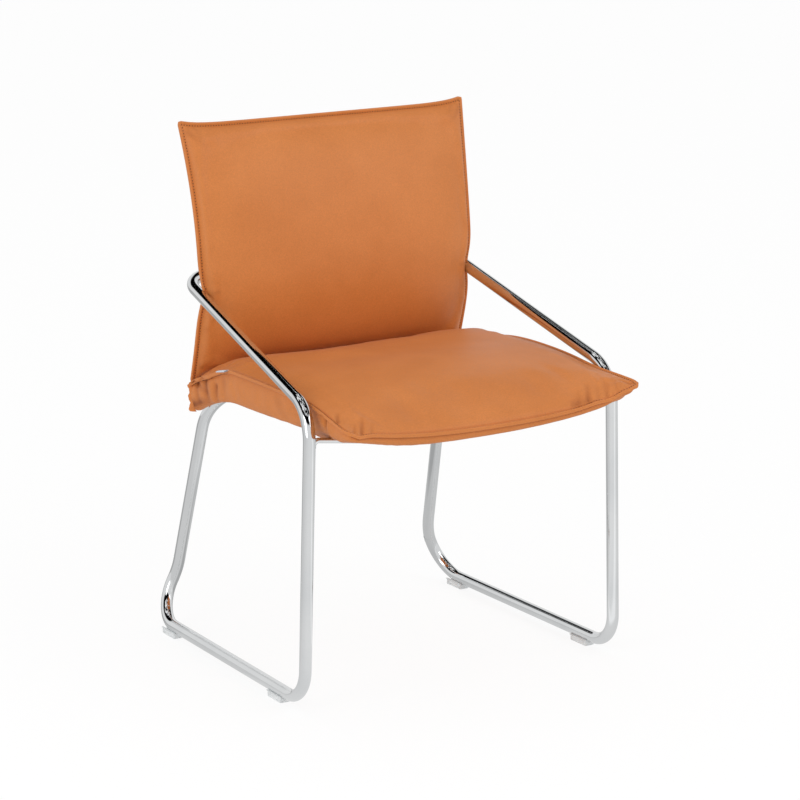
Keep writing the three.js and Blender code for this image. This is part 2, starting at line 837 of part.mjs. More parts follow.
// Rows of the under panel: share of the length, shift along Y, how far down from the seam, lip.
const underRows = [
  [0, 0, 0, -1],
  [0, 0, 0, 0],
  [0.004, -frontRollBulge, 0.5, 0],
  [0.017, -frontRollFoot, 1, 0],
  ...seatRowShares.slice(1, -1).map((share) => [share, 0, 1, 0]),
  [0.991, rearWallFoot, 1, 0],
  [0.996, rearWallBulge, 0.5, 0],
  [1, 0, 0, 0],
  [1, 0, 0, 1],
];

// Columns of the under panel, from the lip inwards, with their shares of the half width.
const underColumns = [
  ["lip", 1],
  ["seam", 1],
  ["bulge", 0.983],
  ["foot", 0.966],
  ["flap", 0.941],
  ["floor", 0.925],
  ["floor", 0.828],
  ["floor", 0.55],
  ["floor", 0.28],
];

// The underside without its flaps: flat, with a lifted edge and a roll at the front.
function underFlat(x, y, across) {
  const fall = 1 - ease(y - frontLegY, underEdgeFallFrom, underEdgeFallTo);
  const lift = underEdgeLift * fall * ease(x, underFlatHalfWidth, underEdgeHalfWidth);
  const depth = frontRollDepth * (1 - frontRollCornerShare * Math.abs(across) ** 4);
  const roll = seatMiddleHeight(across, 0) - depth;
  const front = frontLegY - seatFrontOverhang + frontRollStart;
  return mix(roll, underHeight + lift, ease(y, front, front + frontRollReach));
}

function underPoint(side, [column, across], [share, shift, drop, lip]) {
  const reach = lipReach(column === "lip" ? 1 : 0, lip);
  const slant = reach / lipWidth;
  const sewn = column === "lip" || column === "seam";
  const y = seatY(across, share) + (sewn ? 0 : shift) + lip * reach;
  const halfWidth = seatHalfWidthAt(y);
  const hanging = ease(y, frontLegY + legTopSetback - flapLead, seatY(1, 1));
  const sideways = {
    lip: reach,
    bulge: drop * (halfWidth * (1 - across) + sideBulge),
    foot: drop * (halfWidth * (1 - across) - sideTuck + flapFlare * hanging),
  };
  const x = across * halfWidth + (sideways[column] ?? 0);
  const seam = seatMiddleHeight(across, share);
  const hang = flapDrop * hanging;
  const flat = underFlat(x, y, across);
  const heights = {
    lip: seam + sideLipLift * slant,
    seam,
    bulge: mix(seam, flat - hang, drop * bulgeShare),
    foot: mix(seam, flat - hang, drop),
    flap: mix(seam, flat - hang, drop),
    floor: mix(seam, flat, drop),
  };
  const below = sewn ? 1 : 1 - drop;
  const sink = seamStandOff(across, share) * below + Math.max(lip, 0) * rearLipDrop * slant;
  return new THREE.Vector3(side * x, y, heights[column] - sink);
}

const underGrid = underRows.map((row) => [
  ...underColumns.map((column) => underPoint(1, column, row)),
  underPoint(1, ["floor", 0], row),
  ...[...underColumns].reverse().map((column) => underPoint(-1, column, row)),
]);

function seatBolt(side) {
  const x = side * seatBoltHalfSpan;
  const from = new THREE.Vector3(x, seatBarY, seatBarHeight - tubeRadius - contactGap);
  const boardFace = new THREE.Vector3(x, seatBarY, boardTop);
  const to = boardFace.clone().addScaledVector(alongZ, insertFlange);
  return { from, to, boardFace };
}

const boardBottom = underHeight + leather + contactGap;
const boardTop = boardBottom + seatBoardThickness;
const seatBolts = sides.map(({ side }) => seatBolt(side));
const seatBoltHoles = seatBolts.map(({ from, to }) => bar(from, to, boltRadius + boltGap, boltSides));

// Clips on the front cross rod, each with two screws up into the seat board.

const clipTop = underHeight - 2 * contactGap;
const clipHalfDepth = rodRadius + contactGap + clipWall;
const screwReach = clipHalfDepth + clipWing / 2;

function clipScrewPlaces(side) {
  return [
    ["front", -1],
    ["rear", 1],
  ].map(([end, way]) => {
    const x = side * clipHalfSpan;
    const y = rodY + way * screwReach;
    const low = clipTop - clipWingThickness - contactGap;
    return {
      end,
      from: new THREE.Vector3(x, y, low),
      to: new THREE.Vector3(x, y, boardBottom + screwBite),
    };
  });
}

const screwHole = ({ from, to }) => {
  const start = from.clone().addScaledVector(alongZ, -cutOverrun);
  const end = to.clone().addScaledVector(alongZ, contactGap);
  return bar(start, end, screwRadius + contactGap, boltSides);
};
const clipScrewHoles = sides.flatMap(({ side }) => clipScrewPlaces(side).map(screwHole));

function rodClip(side) {
  const x = side * clipHalfSpan;
  const at = (dx, dy, z) => new THREE.Vector3(x + dx, rodY + dy, z);
  const body = box(
    at(-clipHalfLength, -clipHalfDepth, rodMiddleHeight - clipLip),
    at(clipHalfLength, clipHalfDepth, clipTop),
  );
  const wings = box(
    at(-clipHalfLength, -clipHalfDepth - clipWing, clipTop - clipWingThickness),
    at(clipHalfLength, clipHalfDepth + clipWing, clipTop),
  );
  const overrun = clipHalfLength + cutOverrun;
  const rodHole = bar(
    at(-overrun, 0, rodMiddleHeight),
    at(overrun, 0, rodMiddleHeight),
    rodRadius + contactGap,
    tubeSides,
  );
  const joined = toGeometry(toSolid(body).add(toSolid(wings)));
  return cut(joined, rodHole, ...clipScrewPlaces(side).map(screwHole));
}

for (const { name, side } of sides) {
  addPiece("rod_clip_" + name, rodClip(side), blackPlastic);
  for (const { end, from, to } of clipScrewPlaces(side)) {
    const screw = bolt(from, to, screwRadius, screwHeadRadius, screwHeadHeight);
    addPiece("rod_clip_screw_" + name + "_" + end, screw, steel);
  }
}

const underTools = [...armClearances, ...seatBoltHoles, ...clipScrewHoles];
const underPanel = cut(leatherSheet(underGrid), ...underTools);
addPiece("seat_cover_under", underPanel, tanLeather);

// Seat board: a plate with rounded corners, drilled for the inserts and the screws.

function seatBoardGeometry() {
  const front = frontLegY - seatBoardFront;
  const rear = frontLegY + seatLength - seatFrontOverhang - seatBoardRearMargin;
  const w = seatBoardHalfWidth;
  const c = seatBoardCorner;
  const shape = new THREE.Shape();
  shape.moveTo(c - w, front);
  shape.lineTo(w - c, front);
  shape.quadraticCurveTo(w, front, w, front + c);
  shape.lineTo(w, rear - c);
  shape.quadraticCurveTo(w, rear, w - c, rear);
  shape.lineTo(c - w, rear);
  shape.quadraticCurveTo(-w, rear, -w, rear - c);
  shape.lineTo(-w, front + c);
  shape.quadraticCurveTo(-w, front, c - w, front);
  const plate = new THREE.ExtrudeGeometry(shape, {
    depth: seatBoardThickness,
    bevelEnabled: false,
    curveSegments: 4,
  });
  plate.translate(0, 0, boardBottom);
  return cut(plate, ...insertHoles(seatBolts, alongZ), ...clipScrewHoles);
}

addPiece("seat_board", seatBoardGeometry(), plywood);

const foamFloor = boardTop + insertFlange + 2 * contactGap;
const seatFoamTop = withoutLip(offsetGrid(seatTopGrid, leather + contactGap));
const seatFoamFloor = seatFoamTop.map((row) =>
  row.map((p, i) => {
    const under = underFlat(Math.abs(p.x), p.y, seatColumns[i + 1]) + leather + foamRelief;
    return new THREE.Vector3(p.x, p.y, Math.max(Math.min(foamFloor, p.z - leather), under));
  }),
);
const seatFoam = closedSheet(seatFoamTop, seatFoamFloor);
addPiece("seat_foam", seatFoam, foam);

sides.forEach(({ name }, k) => {
  const { from, to, boardFace } = seatBolts[k];
  const screw = bolt(from, to, boltRadius, boltHeadRadius, boltHeadHeight);
  addPiece("seat_bolt_" + name, screw, steel);
  const nut = insert(boardFace, boardFace.clone().add(alongZ));
  addPiece("seat_insert_" + name, nut, steel);
});

// Plain white tag that hangs from the left seat seam.

const tagShare = (tagSetback + seatFrontOverhang) / seatLength;
const tagSlope = Math.atan2(
  seatSideHeight(tagShare + tagLength / seatLength) - seatSideHeight(tagShare),
  tagLength,
);
const tag = addPiece(
  "seat_tag",
  new THREE.BoxGeometry(tagThickness, tagLength, tagHeight),
  whiteCloth,
);
tag.position.set(
  -seatHalfWidthAt(frontLegY + tagSetback) - tagStandOff - tagThickness / 2,
  frontLegY + tagSetback,
  seatSideHeight(tagShare) - tagDrop - tagHeight / 2,
);
tag.rotation.x = tagSlope;

export default chair;
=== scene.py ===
import math

import bmesh
import bpy
import numpy as np
from mathutils import Matrix, Vector
from mathutils.kdtree import KDTree


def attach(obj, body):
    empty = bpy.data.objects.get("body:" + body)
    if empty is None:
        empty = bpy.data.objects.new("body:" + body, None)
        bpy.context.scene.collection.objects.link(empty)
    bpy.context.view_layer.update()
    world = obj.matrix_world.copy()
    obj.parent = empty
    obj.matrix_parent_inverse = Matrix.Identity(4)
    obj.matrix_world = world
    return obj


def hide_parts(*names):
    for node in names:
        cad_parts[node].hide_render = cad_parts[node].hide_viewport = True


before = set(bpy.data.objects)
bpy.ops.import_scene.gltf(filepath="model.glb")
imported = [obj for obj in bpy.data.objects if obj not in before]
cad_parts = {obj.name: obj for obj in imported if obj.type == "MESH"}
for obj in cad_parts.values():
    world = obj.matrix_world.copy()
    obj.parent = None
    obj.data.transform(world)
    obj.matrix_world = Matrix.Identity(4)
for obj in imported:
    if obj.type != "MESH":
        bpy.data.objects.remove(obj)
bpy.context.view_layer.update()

bpy.ops.object.select_all(action="DESELECT")


# Camera: a long lens at the eye height of someone who stands 5 m away, in front of the chair and
# to the left, so that upright lines stay nearly parallel.

bpy.ops.object.camera_add(
    location=(-2.51821, -4.23505, 1.58410),
    rotation=(math.radians(76.34), math.radians(-0.07), math.radians(-30.85)),
)
camera = bpy.context.object
camera.name = "camera"
camera.data.sensor_width = 36
camera.data.lens = 153.6
camera.data.shift_x = -0.0014
camera.data.clip_end = 50
bpy.context.scene.camera = camera


# Frame: two mirrored halves of 18 mm steel tube, bent cold and chromed, that meet on the middle
# line behind the back pad and under the seat. Each half is one run of tube: half the back bar,
# arm, front leg, runner, rear leg and half the seat bar.

def node_maker(tree, place):
    """A maker of a tree's nodes, which sets their values and sockets and links them."""

    def add(kind, links=None, sockets=None, **values):
        node = tree.nodes.new("ShaderNode" + kind)
        for key, value in values.items():
            setattr(node, key, value)
        for key, value in (sockets or {}).items():
            node.inputs[key].default_value = value
        for key, source in (links or {}).items():
            tree.links.new(source, node.inputs[key])
        return node

    add.tree = tree
    add.place = add("TexCoord").outputs[place]
    return add


def new_material(name):
    """A material with its shader and the maker of its nodes."""
    material = bpy.data.materials.new(name)
    material.use_nodes = True
    tree = material.node_tree
    return material, tree.nodes["Principled BSDF"], node_maker(tree, "Object")


def ramp(add, source, stops):
    """A colour ramp over stops of (position, grey or colour)."""
    node = add("ValToRGB", {"Fac": source})
    elements = node.color_ramp.elements
    while len(elements) < len(stops):
        elements.new(0.5)
    for element, (position, tone) in zip(elements, stops):
        element.position = position
        element.color = (tone, tone, tone, 1) if isinstance(tone, float) else (*tone, 1)
    return node.outputs["Color"]


def noise(add, scale, detail, **others):
    """Cloudy noise all over a piece, finer as the scale goes up."""
    sockets = {"Scale": scale, "Detail": detail, **others}
    return add("TexNoise", {"Vector": add.place}, sockets).outputs["Fac"]


def dress(shader, add, tone, rough, bumps=()):
    """Gives a shader colour, roughness and bumps of (height, strength, depth in metres)."""
    add.tree.links.new(tone, shader.inputs["Base Color"])
    add.tree.links.new(rough, shader.inputs["Roughness"])
    below = {}
    for height, strength, depth in bumps:
        sockets = {"Strength": abs(strength), "Distance": depth}
        bump = add("Bump", {"Height": height, **below}, sockets, invert=strength < 0)
        below = {"Normal": bump.outputs["Normal"]}
    for source in below.values():
        add.tree.links.new(source, shader.inputs["Normal"])


def chrome_finish():
    """Bright chrome plate: faint clouding, and a trace of the polishing marks."""
    material, shader, add = new_material("chrome_plate")
    tone = ramp(add, noise(add, 14, 4), [(0.3, (0.73, 0.745, 0.755)), (0.7, (0.8, 0.81, 0.815))])
    marks = noise(add, 900, 2)
    limits = {"From Min": 0.3, "From Max": 0.7, "To Min": 0.05, "To Max": 0.085}
    shine = add("MapRange", {"Value": marks}, limits)
    dress(shader, add, tone, shine.outputs["Result"], [(marks, 0.02, 0.0001)])
    shader.inputs["Metallic"].default_value = 1
    return material


def bends_of(corners, bends):
    """For each bend of a tube: where it starts and ends, its axis, its angle and its centre."""
    for before, corner, after, bend in zip(corners, corners[1:], corners[2:], bends):
        arrive = (corner - before).normalized()
        leave = (after - corner).normalized()
        angle = arrive.angle(leave)
        reach = bend / 1000 * math.tan(angle / 2)
        start = corner - arrive * reach
        axis = arrive.cross(leave).normalized()
        centre = start + axis.cross(arrive) * bend / 1000
        yield start, corner + leave * reach, axis, angle, centre


def bend_tube(name, corners, bends, radius, sides):
    """Tube run from corner to corner in mm: the section is drawn on and spun round each bend."""
    corners = [Vector(corner) / 1000 for corner in corners]
    along = (corners[1] - corners[0]).normalized()
    bpy.ops.object.select_all(action="DESELECT")
    bpy.ops.mesh.primitive_circle_add(
        vertices=sides,
        radius=radius / 1000,
        location=corners[0],
        rotation=along.to_track_quat("Z", "Y").to_euler(),
    )
    tube = bpy.context.object
    tube.name = name
    bpy.ops.object.transform_apply(location=True, rotation=True, scale=True)
    bpy.ops.object.mode_set(mode="EDIT")
    bpy.ops.mesh.select_all(action="SELECT")
    at = corners[0]
    for start, end, axis, angle, centre in bends_of(corners, bends):
        bpy.ops.mesh.extrude_region_move(TRANSFORM_OT_translate={"value": start - at})
        steps = max(6, round(math.degrees(angle) / 4))
        bpy.ops.mesh.spin(steps=steps, angle=-angle, center=centre, axis=axis)
        at = end
    bpy.ops.mesh.extrude_region_move(TRANSFORM_OT_translate={"value": corners[-1] - at})
    bpy.ops.mesh.select_all(action="SELECT")
    bpy.ops.mesh.normals_make_consistent(inside=False)
    bpy.ops.object.mode_set(mode="OBJECT")
    return tube


def choose(piece):
    """Makes a piece the only selected one."""
    bpy.ops.object.select_all(action="DESELECT")
    piece.select_set(True)
    bpy.context.view_layer.objects.active = piece


def finish_by(piece, kind, **settings):
    """Puts a modifier on a piece and applies it."""
    choose(piece)
    modifier = piece.modifiers.new(kind.title(), kind)
    for key, value in settings.items():
        setattr(modifier, key, value)
    bpy.ops.object.modifier_apply(modifier=modifier.name)


def smooth_shade(piece, degrees=40):
    """Shades a piece smooth, with edges kept where faces meet at more than this angle."""
    choose(piece)
    bpy.ops.object.shade_smooth_by_angle(angle=math.radians(degrees))


front_leg_y = -199.1
tube_radius = 9
seat_bar_height = 390.6
seat_bar_y = front_leg_y + 320
arm_front_height = 443
arm_rise = 112.4
arm_length = 434.4
back_bar_y = front_leg_y + arm_length
back_bar_height = arm_front_height + arm_rise
runner_height = 16
runner_length = 489
front_foot_x = 265
rear_foot_x = 255
frame_bends = [50, 60, 49, 53, 123, 84, 80]


def frame_corners(side):
    """Corners of half the frame's middle line, from the back bar's middle to the seat bar's."""
    places = [
        (0.15, back_bar_y, back_bar_height),
        (226.7, back_bar_y, back_bar_height),
        (254.3, front_leg_y, arm_front_height),
        (front_foot_x, front_leg_y, runner_height),
        (rear_foot_x, front_leg_y + runner_length, runner_height),
        (225, front_leg_y + 471, 89.5),
        (208, front_leg_y + 391, seat_bar_height),
        (137, seat_bar_y, seat_bar_height),
        (0.15, seat_bar_y, seat_bar_height),
    ]
    return [(side * x, y, z) for x, y, z in places]


chrome = chrome_finish()
for word, side in (("left", -1), ("right", 1)):
    tube = bend_tube("frame_" + word, frame_corners(side), frame_bends, tube_radius, 40)
    finish_by(tube, "SOLIDIFY", thickness=0.002, offset=-1)
    smooth_shade(tube)
    tube.data.materials.append(chrome)
    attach(tube, "root")
    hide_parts("frame_tube_" + word)


# Front cross rod: 8 mm chromed rod that joins the front legs under the seat. Its ends turn down
# behind the legs, where they are welded, and its middle dips under the seat board.

def close_ends(piece):
    """Fills the open ends of a piece."""
    choose(piece)
    bpy.ops.object.mode_set(mode="EDIT")
    bpy.ops.mesh.select_all(action="DESELECT")
    bpy.ops.mesh.select_non_manifold()
    bpy.ops.mesh.edge_face_add()
    bpy.ops.mesh.select_all(action="SELECT")
    bpy.ops.mesh.normals_make_consistent(inside=False)
    bpy.ops.object.mode_set(mode="OBJECT")


rod_radius = 4
rod_half = [(244.8, 387), (244.5, 398.6), (122, 382.2)]
rod_corners = [(-x, front_leg_y + 7.8, z) for x, z in rod_half]
rod_corners += [(x, front_leg_y + 7.8, z) for x, z in rod_half[::-1]]
rod_bends = [8, 150, 150, 8]
rod = bend_tube("cross_rod", rod_corners, rod_bends, rod_radius, 24)
close_ends(rod)
smooth_shade(rod)
rod.data.materials.append(chrome)
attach(rod, "root")
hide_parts("front_cross_rod")


# Glides: four milky clear plastic mouldings, each a saddle that hugs the underside of the runner
# with a flat foot below. A peg, hidden in the tube, holds it in its hole.

def glide_finish():
    """Milky clear plastic, faintly cloudy and finely scuffed."""
    material, shader, add = new_material("milky_plastic")
    tone = ramp(add, noise(add, 120, 3), [(0.3, (0.84, 0.87, 0.88)), (0.7, (0.92, 0.94, 0.945))])
    scuff = noise(add, 700, 4)
    rough = ramp(add, scuff, [(0.35, 0.3), (0.7, 0.5)])
    dress(shader, add, tone, rough, [(scuff, 0.08, 0.0002)])
    shader.inputs["Transmission Weight"].default_value = 0.1
    shader.inputs["IOR"].default_value = 1.4
    return material


def bar_along(name, place, turn, radius, length):
    """A round bar in metres, whose axis lies along Y before it is turned about Z."""
    bpy.ops.object.select_all(action="DESELECT")
    bpy.ops.mesh.primitive_cylinder_add(
        vertices=64, radius=radius, depth=length, rotation=(math.pi / 2, 0, 0)
    )
    piece = bpy.context.object
    piece.name = name
    bpy.ops.object.transform_apply(location=True, rotation=True, scale=True)
    piece.data.transform(Matrix.Translation(place) @ Matrix.Rotation(turn, 4, "Z"))
    return piece


def join_or_cut(piece, tool, operation):
    """Joins a tool to a piece or cuts it out of it, and throws the tool away."""
    finish_by(piece, "BOOLEAN", object=tool, operation=operation, solver="EXACT")
    bpy.data.objects.remove(tool)


# Sizes of a glide in metres: its saddle, its foot, and the bore in which the tube lies.
glide_length = 0.04
saddle_radius, saddle_top = 0.0117, 0.0098
foot_width, foot_height = 0.0166, 0.01
bore_radius = 0.0093
toe_in = front_foot_x - rear_foot_x
milky = glide_finish()
for word, side in (("left", -1), ("right", 1)):
    for end, setback in (("front", 80), ("rear", 428)):
        across = side * (front_foot_x - toe_in * setback / runner_length) / 1000
        along = (front_leg_y + setback) / 1000
        turn = side * math.atan2(toe_in, runner_length)
        place = Vector((across, along, runner_height / 1000))
        saddle = bar_along("glide_" + end + "_" + word, place, turn, saddle_radius, glide_length)
        bpy.ops.object.mode_set(mode="EDIT")
        bpy.ops.mesh.select_all(action="SELECT")
        bpy.ops.mesh.bisect(
            plane_co=(across, along, saddle_top), plane_no=(0, 0, 1), use_fill=True, clear_outer=True
        )
        bpy.ops.object.mode_set(mode="OBJECT")
        bpy.ops.object.select_all(action="DESELECT")
        bpy.ops.mesh.primitive_cube_add(size=1, location=(0, 0, 0))
        foot = bpy.context.object
        foot.data.transform(
            Matrix.Translation((across, along, foot_height / 2))
            @ Matrix.Rotation(turn, 4, "Z")
            @ Matrix.Diagonal((foot_width, glide_length, foot_height, 1))
        )
        bpy.ops.object.mode_set(mode="EDIT")
        bpy.ops.mesh.select_all(action="SELECT")
        bpy.ops.mesh.bevel(offset=0.0014, segments=3, affect="EDGES")
        bpy.ops.object.mode_set(mode="OBJECT")
        bore = bar_along("bore", place, turn, bore_radius, glide_length + 0.01)
        join_or_cut(saddle, foot, "UNION")
        join_or_cut(saddle, bore, "DIFFERENCE")
        finish_by(saddle, "BEVEL", width=0.0004, segments=2, limit_method="ANGLE", angle_limit=0.7)
        smooth_shade(saddle, 35)
        saddle.data.materials.append(milky)
        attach(saddle, "root")
        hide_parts("glide_" + end + "_" + word)


# Seat pad: two leather panels sewn together in a flat lip all round, filled with foam on a board.
# The upper panel is crowned. The under panel makes the side walls, the underside and a flap that
# hangs beside each rear leg.

def leather_finish():
    """Tan hide: pebbled grain, faint mottling and wrinkles, and painted shade in its folds."""
    material, shader, add = new_material("tan_leather")
    mottle = noise(add, 11, 5, Roughness=0.6)
    fleck = noise(add, 420, 3)
    wrinkles = noise(add, 95, 6, Distortion=0.8)
    pores = add(
        "TexVoronoi", {"Vector": add.place}, {"Scale": 850, "Smoothness": 0.6}, feature="SMOOTH_F1"
    ).outputs["Distance"]
    # Painted shade: the leather is darkened where crease pressed a valley into it.
    painted_shade_in_creases = add("Attribute", attribute_name="painted_crease_shade").outputs["Fac"]
    tone = ramp(add, mottle, [(0.3, (0.69, 0.222, 0.05)), (0.7, (0.76, 0.256, 0.064))])
    for source, stops, share in (
        (fleck, [(0.32, 0.9), (0.68, 1.0)], 1),
        (pores, [(0.1, 1.0), (0.6, 0.82)], 0.55),
        (painted_shade_in_creases, [(0.05, (1, 1, 1)), (0.6, (0.74, 0.67, 0.61)), (1, (0.4, 0.3, 0.22))], 1),
    ):
        links = {"A": tone, "B": ramp(add, source, stops)}
        darker = add("Mix", links, {"Factor": share}, data_type="RGBA", blend_type="MULTIPLY")
        tone = darker.outputs["Result"]
    rough = ramp(add, fleck, [(0.3, 0.43), (0.7, 0.56)])
    dress(shader, add, tone, rough, [(pores, -0.22, 0.00025), (wrinkles, 0.16, 0.0012)])
    shader.inputs["Specular IOR Level"].default_value = 0.34
    shader.inputs["Sheen Weight"].default_value = 0.05
    shader.inputs["Sheen Roughness"].default_value = 0.4
    return material


def ease(value, start, end):
    """A soft step: 0 up to the start, 1 from the end on."""
    share = min(max((value - start) / (end - start), 0), 1)
    return share * share * (3 - 2 * share)


def hump(value, middle, width):
    """A soft hump: 1 at the middle, and gone two widths away."""
    return math.exp(-(((value - middle) / width) ** 2))


def mix(a, b, share):
    return a + (b - a) * share


def pillow(across, along, low=2.6):
    """How far a filled panel stands off its board, from 0 at the seam to 1 in the middle."""
    side = max(1 - abs(across) ** 2.6, 0)
    end = max(1 - abs(along) ** (low if along < 0 else 2.6), 0)
    return math.sqrt(side * end)


def crowded(count):
    """Shares from -1 to 1, closer together near the seams."""
    return [math.sin(math.pi / 2 * (2 * i / count - 1)) for i in range(count + 1)]


# Both leathers of a lip, from the seam out: how far out, and how far off the seam's own plane.
# The last station lies in the groove between the two folded edges. At the seam itself each
# leather lies seam_off from that plane.
lip_width = 6.5
seam_off = 1.2
lip_stations = [(0.7, 1.6), (2.0, 1.7), (3.4, 2.5), (5.0, 2.8), (6.5, 1.7), (5.3, 0)]


def lip_blend(lip, other):
    """Pulls a lip in at a corner, so that the corner is rounded."""
    return lip * (1 - 0.45 * abs(lip * other) / lip_width**2)


def panel_grid(columns, rows, place):
    """Rows of points of a panel with its lips. Each column and row is (share, lip station)."""
    return [[place(column, row) for column in columns] for row in rows]


def with_lips(shares):
    """Adds the lip's stations before and after a list of shares."""
    first = [(shares[0], station) for station in reversed(range(len(lip_stations)))]
    last = [(shares[-1], station) for station in range(len(lip_stations))]
    return first + [(share, None) for share in shares] + last


def lip_of(share, station):
    """How far out and how far off the seam's plane a lip's station lies, or 0 on the panel."""
    if station is None:
        return 0, 0
    out, off = lip_stations[station]
    return math.copysign(out, share), off


def pad_mesh(name, upper, lower):
    """One closed pad of two panels in mm whose outermost points meet."""
    mesh = bpy.data.meshes.new(name)
    shape = bmesh.new()
    for grid, flip in ((upper, False), (lower, True)):
        points = [[shape.verts.new(Vector(p) / 1000) for p in row] for row in grid]
        for a, b in zip(points, points[1:]):
            for i in range(len(a) - 1):
                corners = [a[i], a[i + 1], b[i + 1], b[i]]
                shape.faces.new(corners[::-1] if flip else corners)
    bmesh.ops.remove_doubles(shape, verts=shape.verts, dist=1e-6)
    bmesh.ops.recalc_face_normals(shape, faces=shape.faces)
    shape.to_mesh(mesh)
    shape.free()
    pad = bpy.data.objects.new(name, mesh)
    bpy.context.scene.collection.objects.link(pad)
    return pad


seat_front_y = front_leg_y - 80
seat_length = 466
seat_half_width = 239
seat_seam_top = 446.5
seam_crest = 0.49
under_height = 400.1


def seam_jog(across):
    """The small waves of the front seam next to its puckers."""
    waves = ((0.71, 0.05, 3), (0.82, 0.05, -2.4), (-0.93, 0.04, -2.4))
    return sum(rise * hump(across, place, width) for place, width, rise in waves)


def seat_seam_height(across, share):
    """Height of the seam: highest halfway along the sides, low in front and at the rear corners."""
    if share < seam_crest:
        height = seat_seam_top - 15 * (1 - share / seam_crest) ** 2
    else:
        height = seat_seam_top - 47 * ((share - seam_crest) / (1 - seam_crest)) ** 2.95
    if across < 0:
        height += 3 * hump(share, 0.73, 0.06) - 3.5 * hump(share, 0.88, 0.06)
    height += seam_jog(across) * (1 - ease(share, 0, 0.12))
    corners = 5.5 * ease(across, 0.74, 0.9) - 3 * ease(-across, 0, 0.7) - 2 * ease(-across, 0.8, 0.97)
    height += corners * (1 - ease(share, 0, 0.22))
    height -= 24 * (1 - abs(across) ** 2.2) * math.exp(-max(share, 0) * seat_length / 30)
    return height + 27 * (1 - abs(across) ** 8) * ease(share, 0.57, 1)


def seam_stretch(across, share):
    """How much longer the sloping seam is than its plan, at one place."""
    step = 0.01
    rise = seat_seam_height(across, share + step) - seat_seam_height(across, share - step)
    return math.hypot(1, rise / (2 * step * seat_length))


def seat_y(across, share):
    """How far back a share of the seat's length lies. All four corners stand out a little."""
    corner = 6 * abs(across) ** 6 * (1 - ease(share, 0, 0.2))
    return seat_front_y - corner + (seat_length - 20 * (1 - abs(across) ** 4)) * share


def seat_half_width_at(y):
    """Half the seat's width, with a flare at the front and a pinch behind the front legs."""
    flare = 3 * (1 - ease(y - seat_front_y, -6, 34))
    return seat_half_width + flare - 4.5 * hump(y - front_leg_y, 32, 48)


def round_corner(x, y, reach=10):
    """How far a point near a front corner of the seat is drawn in, so that the corner is round."""
    away = math.hypot(seat_half_width_at(y) - abs(x), y - seat_y(1, 0))
    return 4.2 * hump(away, 0, reach)


def seat_point(column, row, way):
    """A point of the seat's seam or lip, in the upper leather (way 1), the under (-1) or between."""
    across, along = column[0], row[0]
    share = (along + 1) / 2
    out_x, off_x = lip_of(across, column[1])
    out_y, off_y = lip_of(along, row[1])
    off = (off_x if abs(out_x) > abs(out_y) else off_y) if out_x or out_y else seam_off
    x_lip, y_lip = lip_blend(out_x, out_y), lip_blend(out_y, out_x)
    y = seat_y(across, share) + y_lip
    lift = 3 * abs(x_lip) / lip_width - 2 * max(y_lip, 0) / lip_width
    x = across * seat_half_width_at(y) + x_lip
    drawn = round_corner(x, y)
    height = seat_seam_height(across, share) + lift + way * off * seam_stretch(across, share)
    return Vector((x - math.copysign(drawn, across), y + drawn, height))


def seat_upper(column, row):
    """The crowned upper panel, which dips in the middle towards the back."""
    point = seat_point(column, row, 1)
    if column[1] is not None or row[1] is not None or abs(column[0]) == 1 or abs(row[0]) == 1:
        return point
    share = (row[0] + 1) / 2
    dip = 13.5 * (1 - abs(column[0]) ** 2.3) * ease(share, 0.36, 0.8) * (1 - 0.8 * ease(share, 0.9, 1))
    return point + Vector((0, 0, seam_off + 14 * pillow(column[0], row[0]) - dip))


def under_flat(x, y, across):
    """The underside without its flaps: flat, tucked up at the front legs, with a roll in front."""
    near_leg = hump(y, front_leg_y, 42 if y < front_leg_y else 18)
    behind_rod = hump(y - front_leg_y, 34, 20)
    edge = 1 - ease(y - front_leg_y, 60, 250)
    lift = 5 * edge * (1 - near_leg) * ease(x, 198, 221) - 3 * ease(x, 212, 228)
    lift += near_leg * (16 * ease(x, 217, 229) - 1.5)
    lift -= 15 * behind_rod * ease(x, 186, 206) * (1 - ease(x, 220, 230))
    belly = 15.5 + 3 * ease(-across, 0, 0.7) - 1.5 * ease(across, 0, 0.4)
    roll = seat_seam_height(across, 0) - seam_jog(across) - belly * (1 - 0.45 * abs(across) ** 4)
    front = seat_front_y + 8
    return mix(roll, under_height + lift, ease(y, front, front + 26))


# Columns of the under panel's wall: share of the half width, how far down it and how far out.
wall_columns = [(0.996, 0.1, 0.9), (0.991, 0.3, 1.9), (0.985, 0.55, 2.0), (0.978, 0.8, 0.8)]
wall_columns += [(0.968, 1, -1.2)]
# Rows of the under panel's front roll and rear wall: share of the length, shift along Y, drop.
roll_rows = [(0.001, -1.6, 0.16), (0.003, -3.2, 0.4), (0.007, -4.6, 0.72), (0.017, -5.0, 1)]
rear_rows = [(0.991, 5, 1), (0.994, 7.2, 0.75), (0.997, 6.8, 0.45), (0.999, 3.4, 0.18)]
flap_start = front_leg_y + 245


def under_inner(column, row, side):
    """A point of the under panel inside its seam: on the roll, a wall, a flap or the floor."""
    kind, across, down, swell = column
    share, shift, drop = row
    y = seat_y(across, share) + shift
    half = seat_half_width_at(y)
    hanging = min(max((y - flap_start) / (seat_y(1, 1) - flap_start), 0), 1) ** 1.9
    x = across * half
    if kind == "wall":
        x += drop * (half * (1 - across) + swell + 3 * hanging * down)
    flat = under_flat(x, y, side * across)
    hang = 0 if kind == "floor" else 40 * hanging
    height = mix(seat_seam_height(side * across, share), flat - hang, drop * down)
    sink = seam_off * (1 - drop) * seam_stretch(across, share)
    drawn = round_corner(x, y, 12) if kind == "wall" else 0
    return Vector((side * (x - drawn), y + drawn, height - sink))


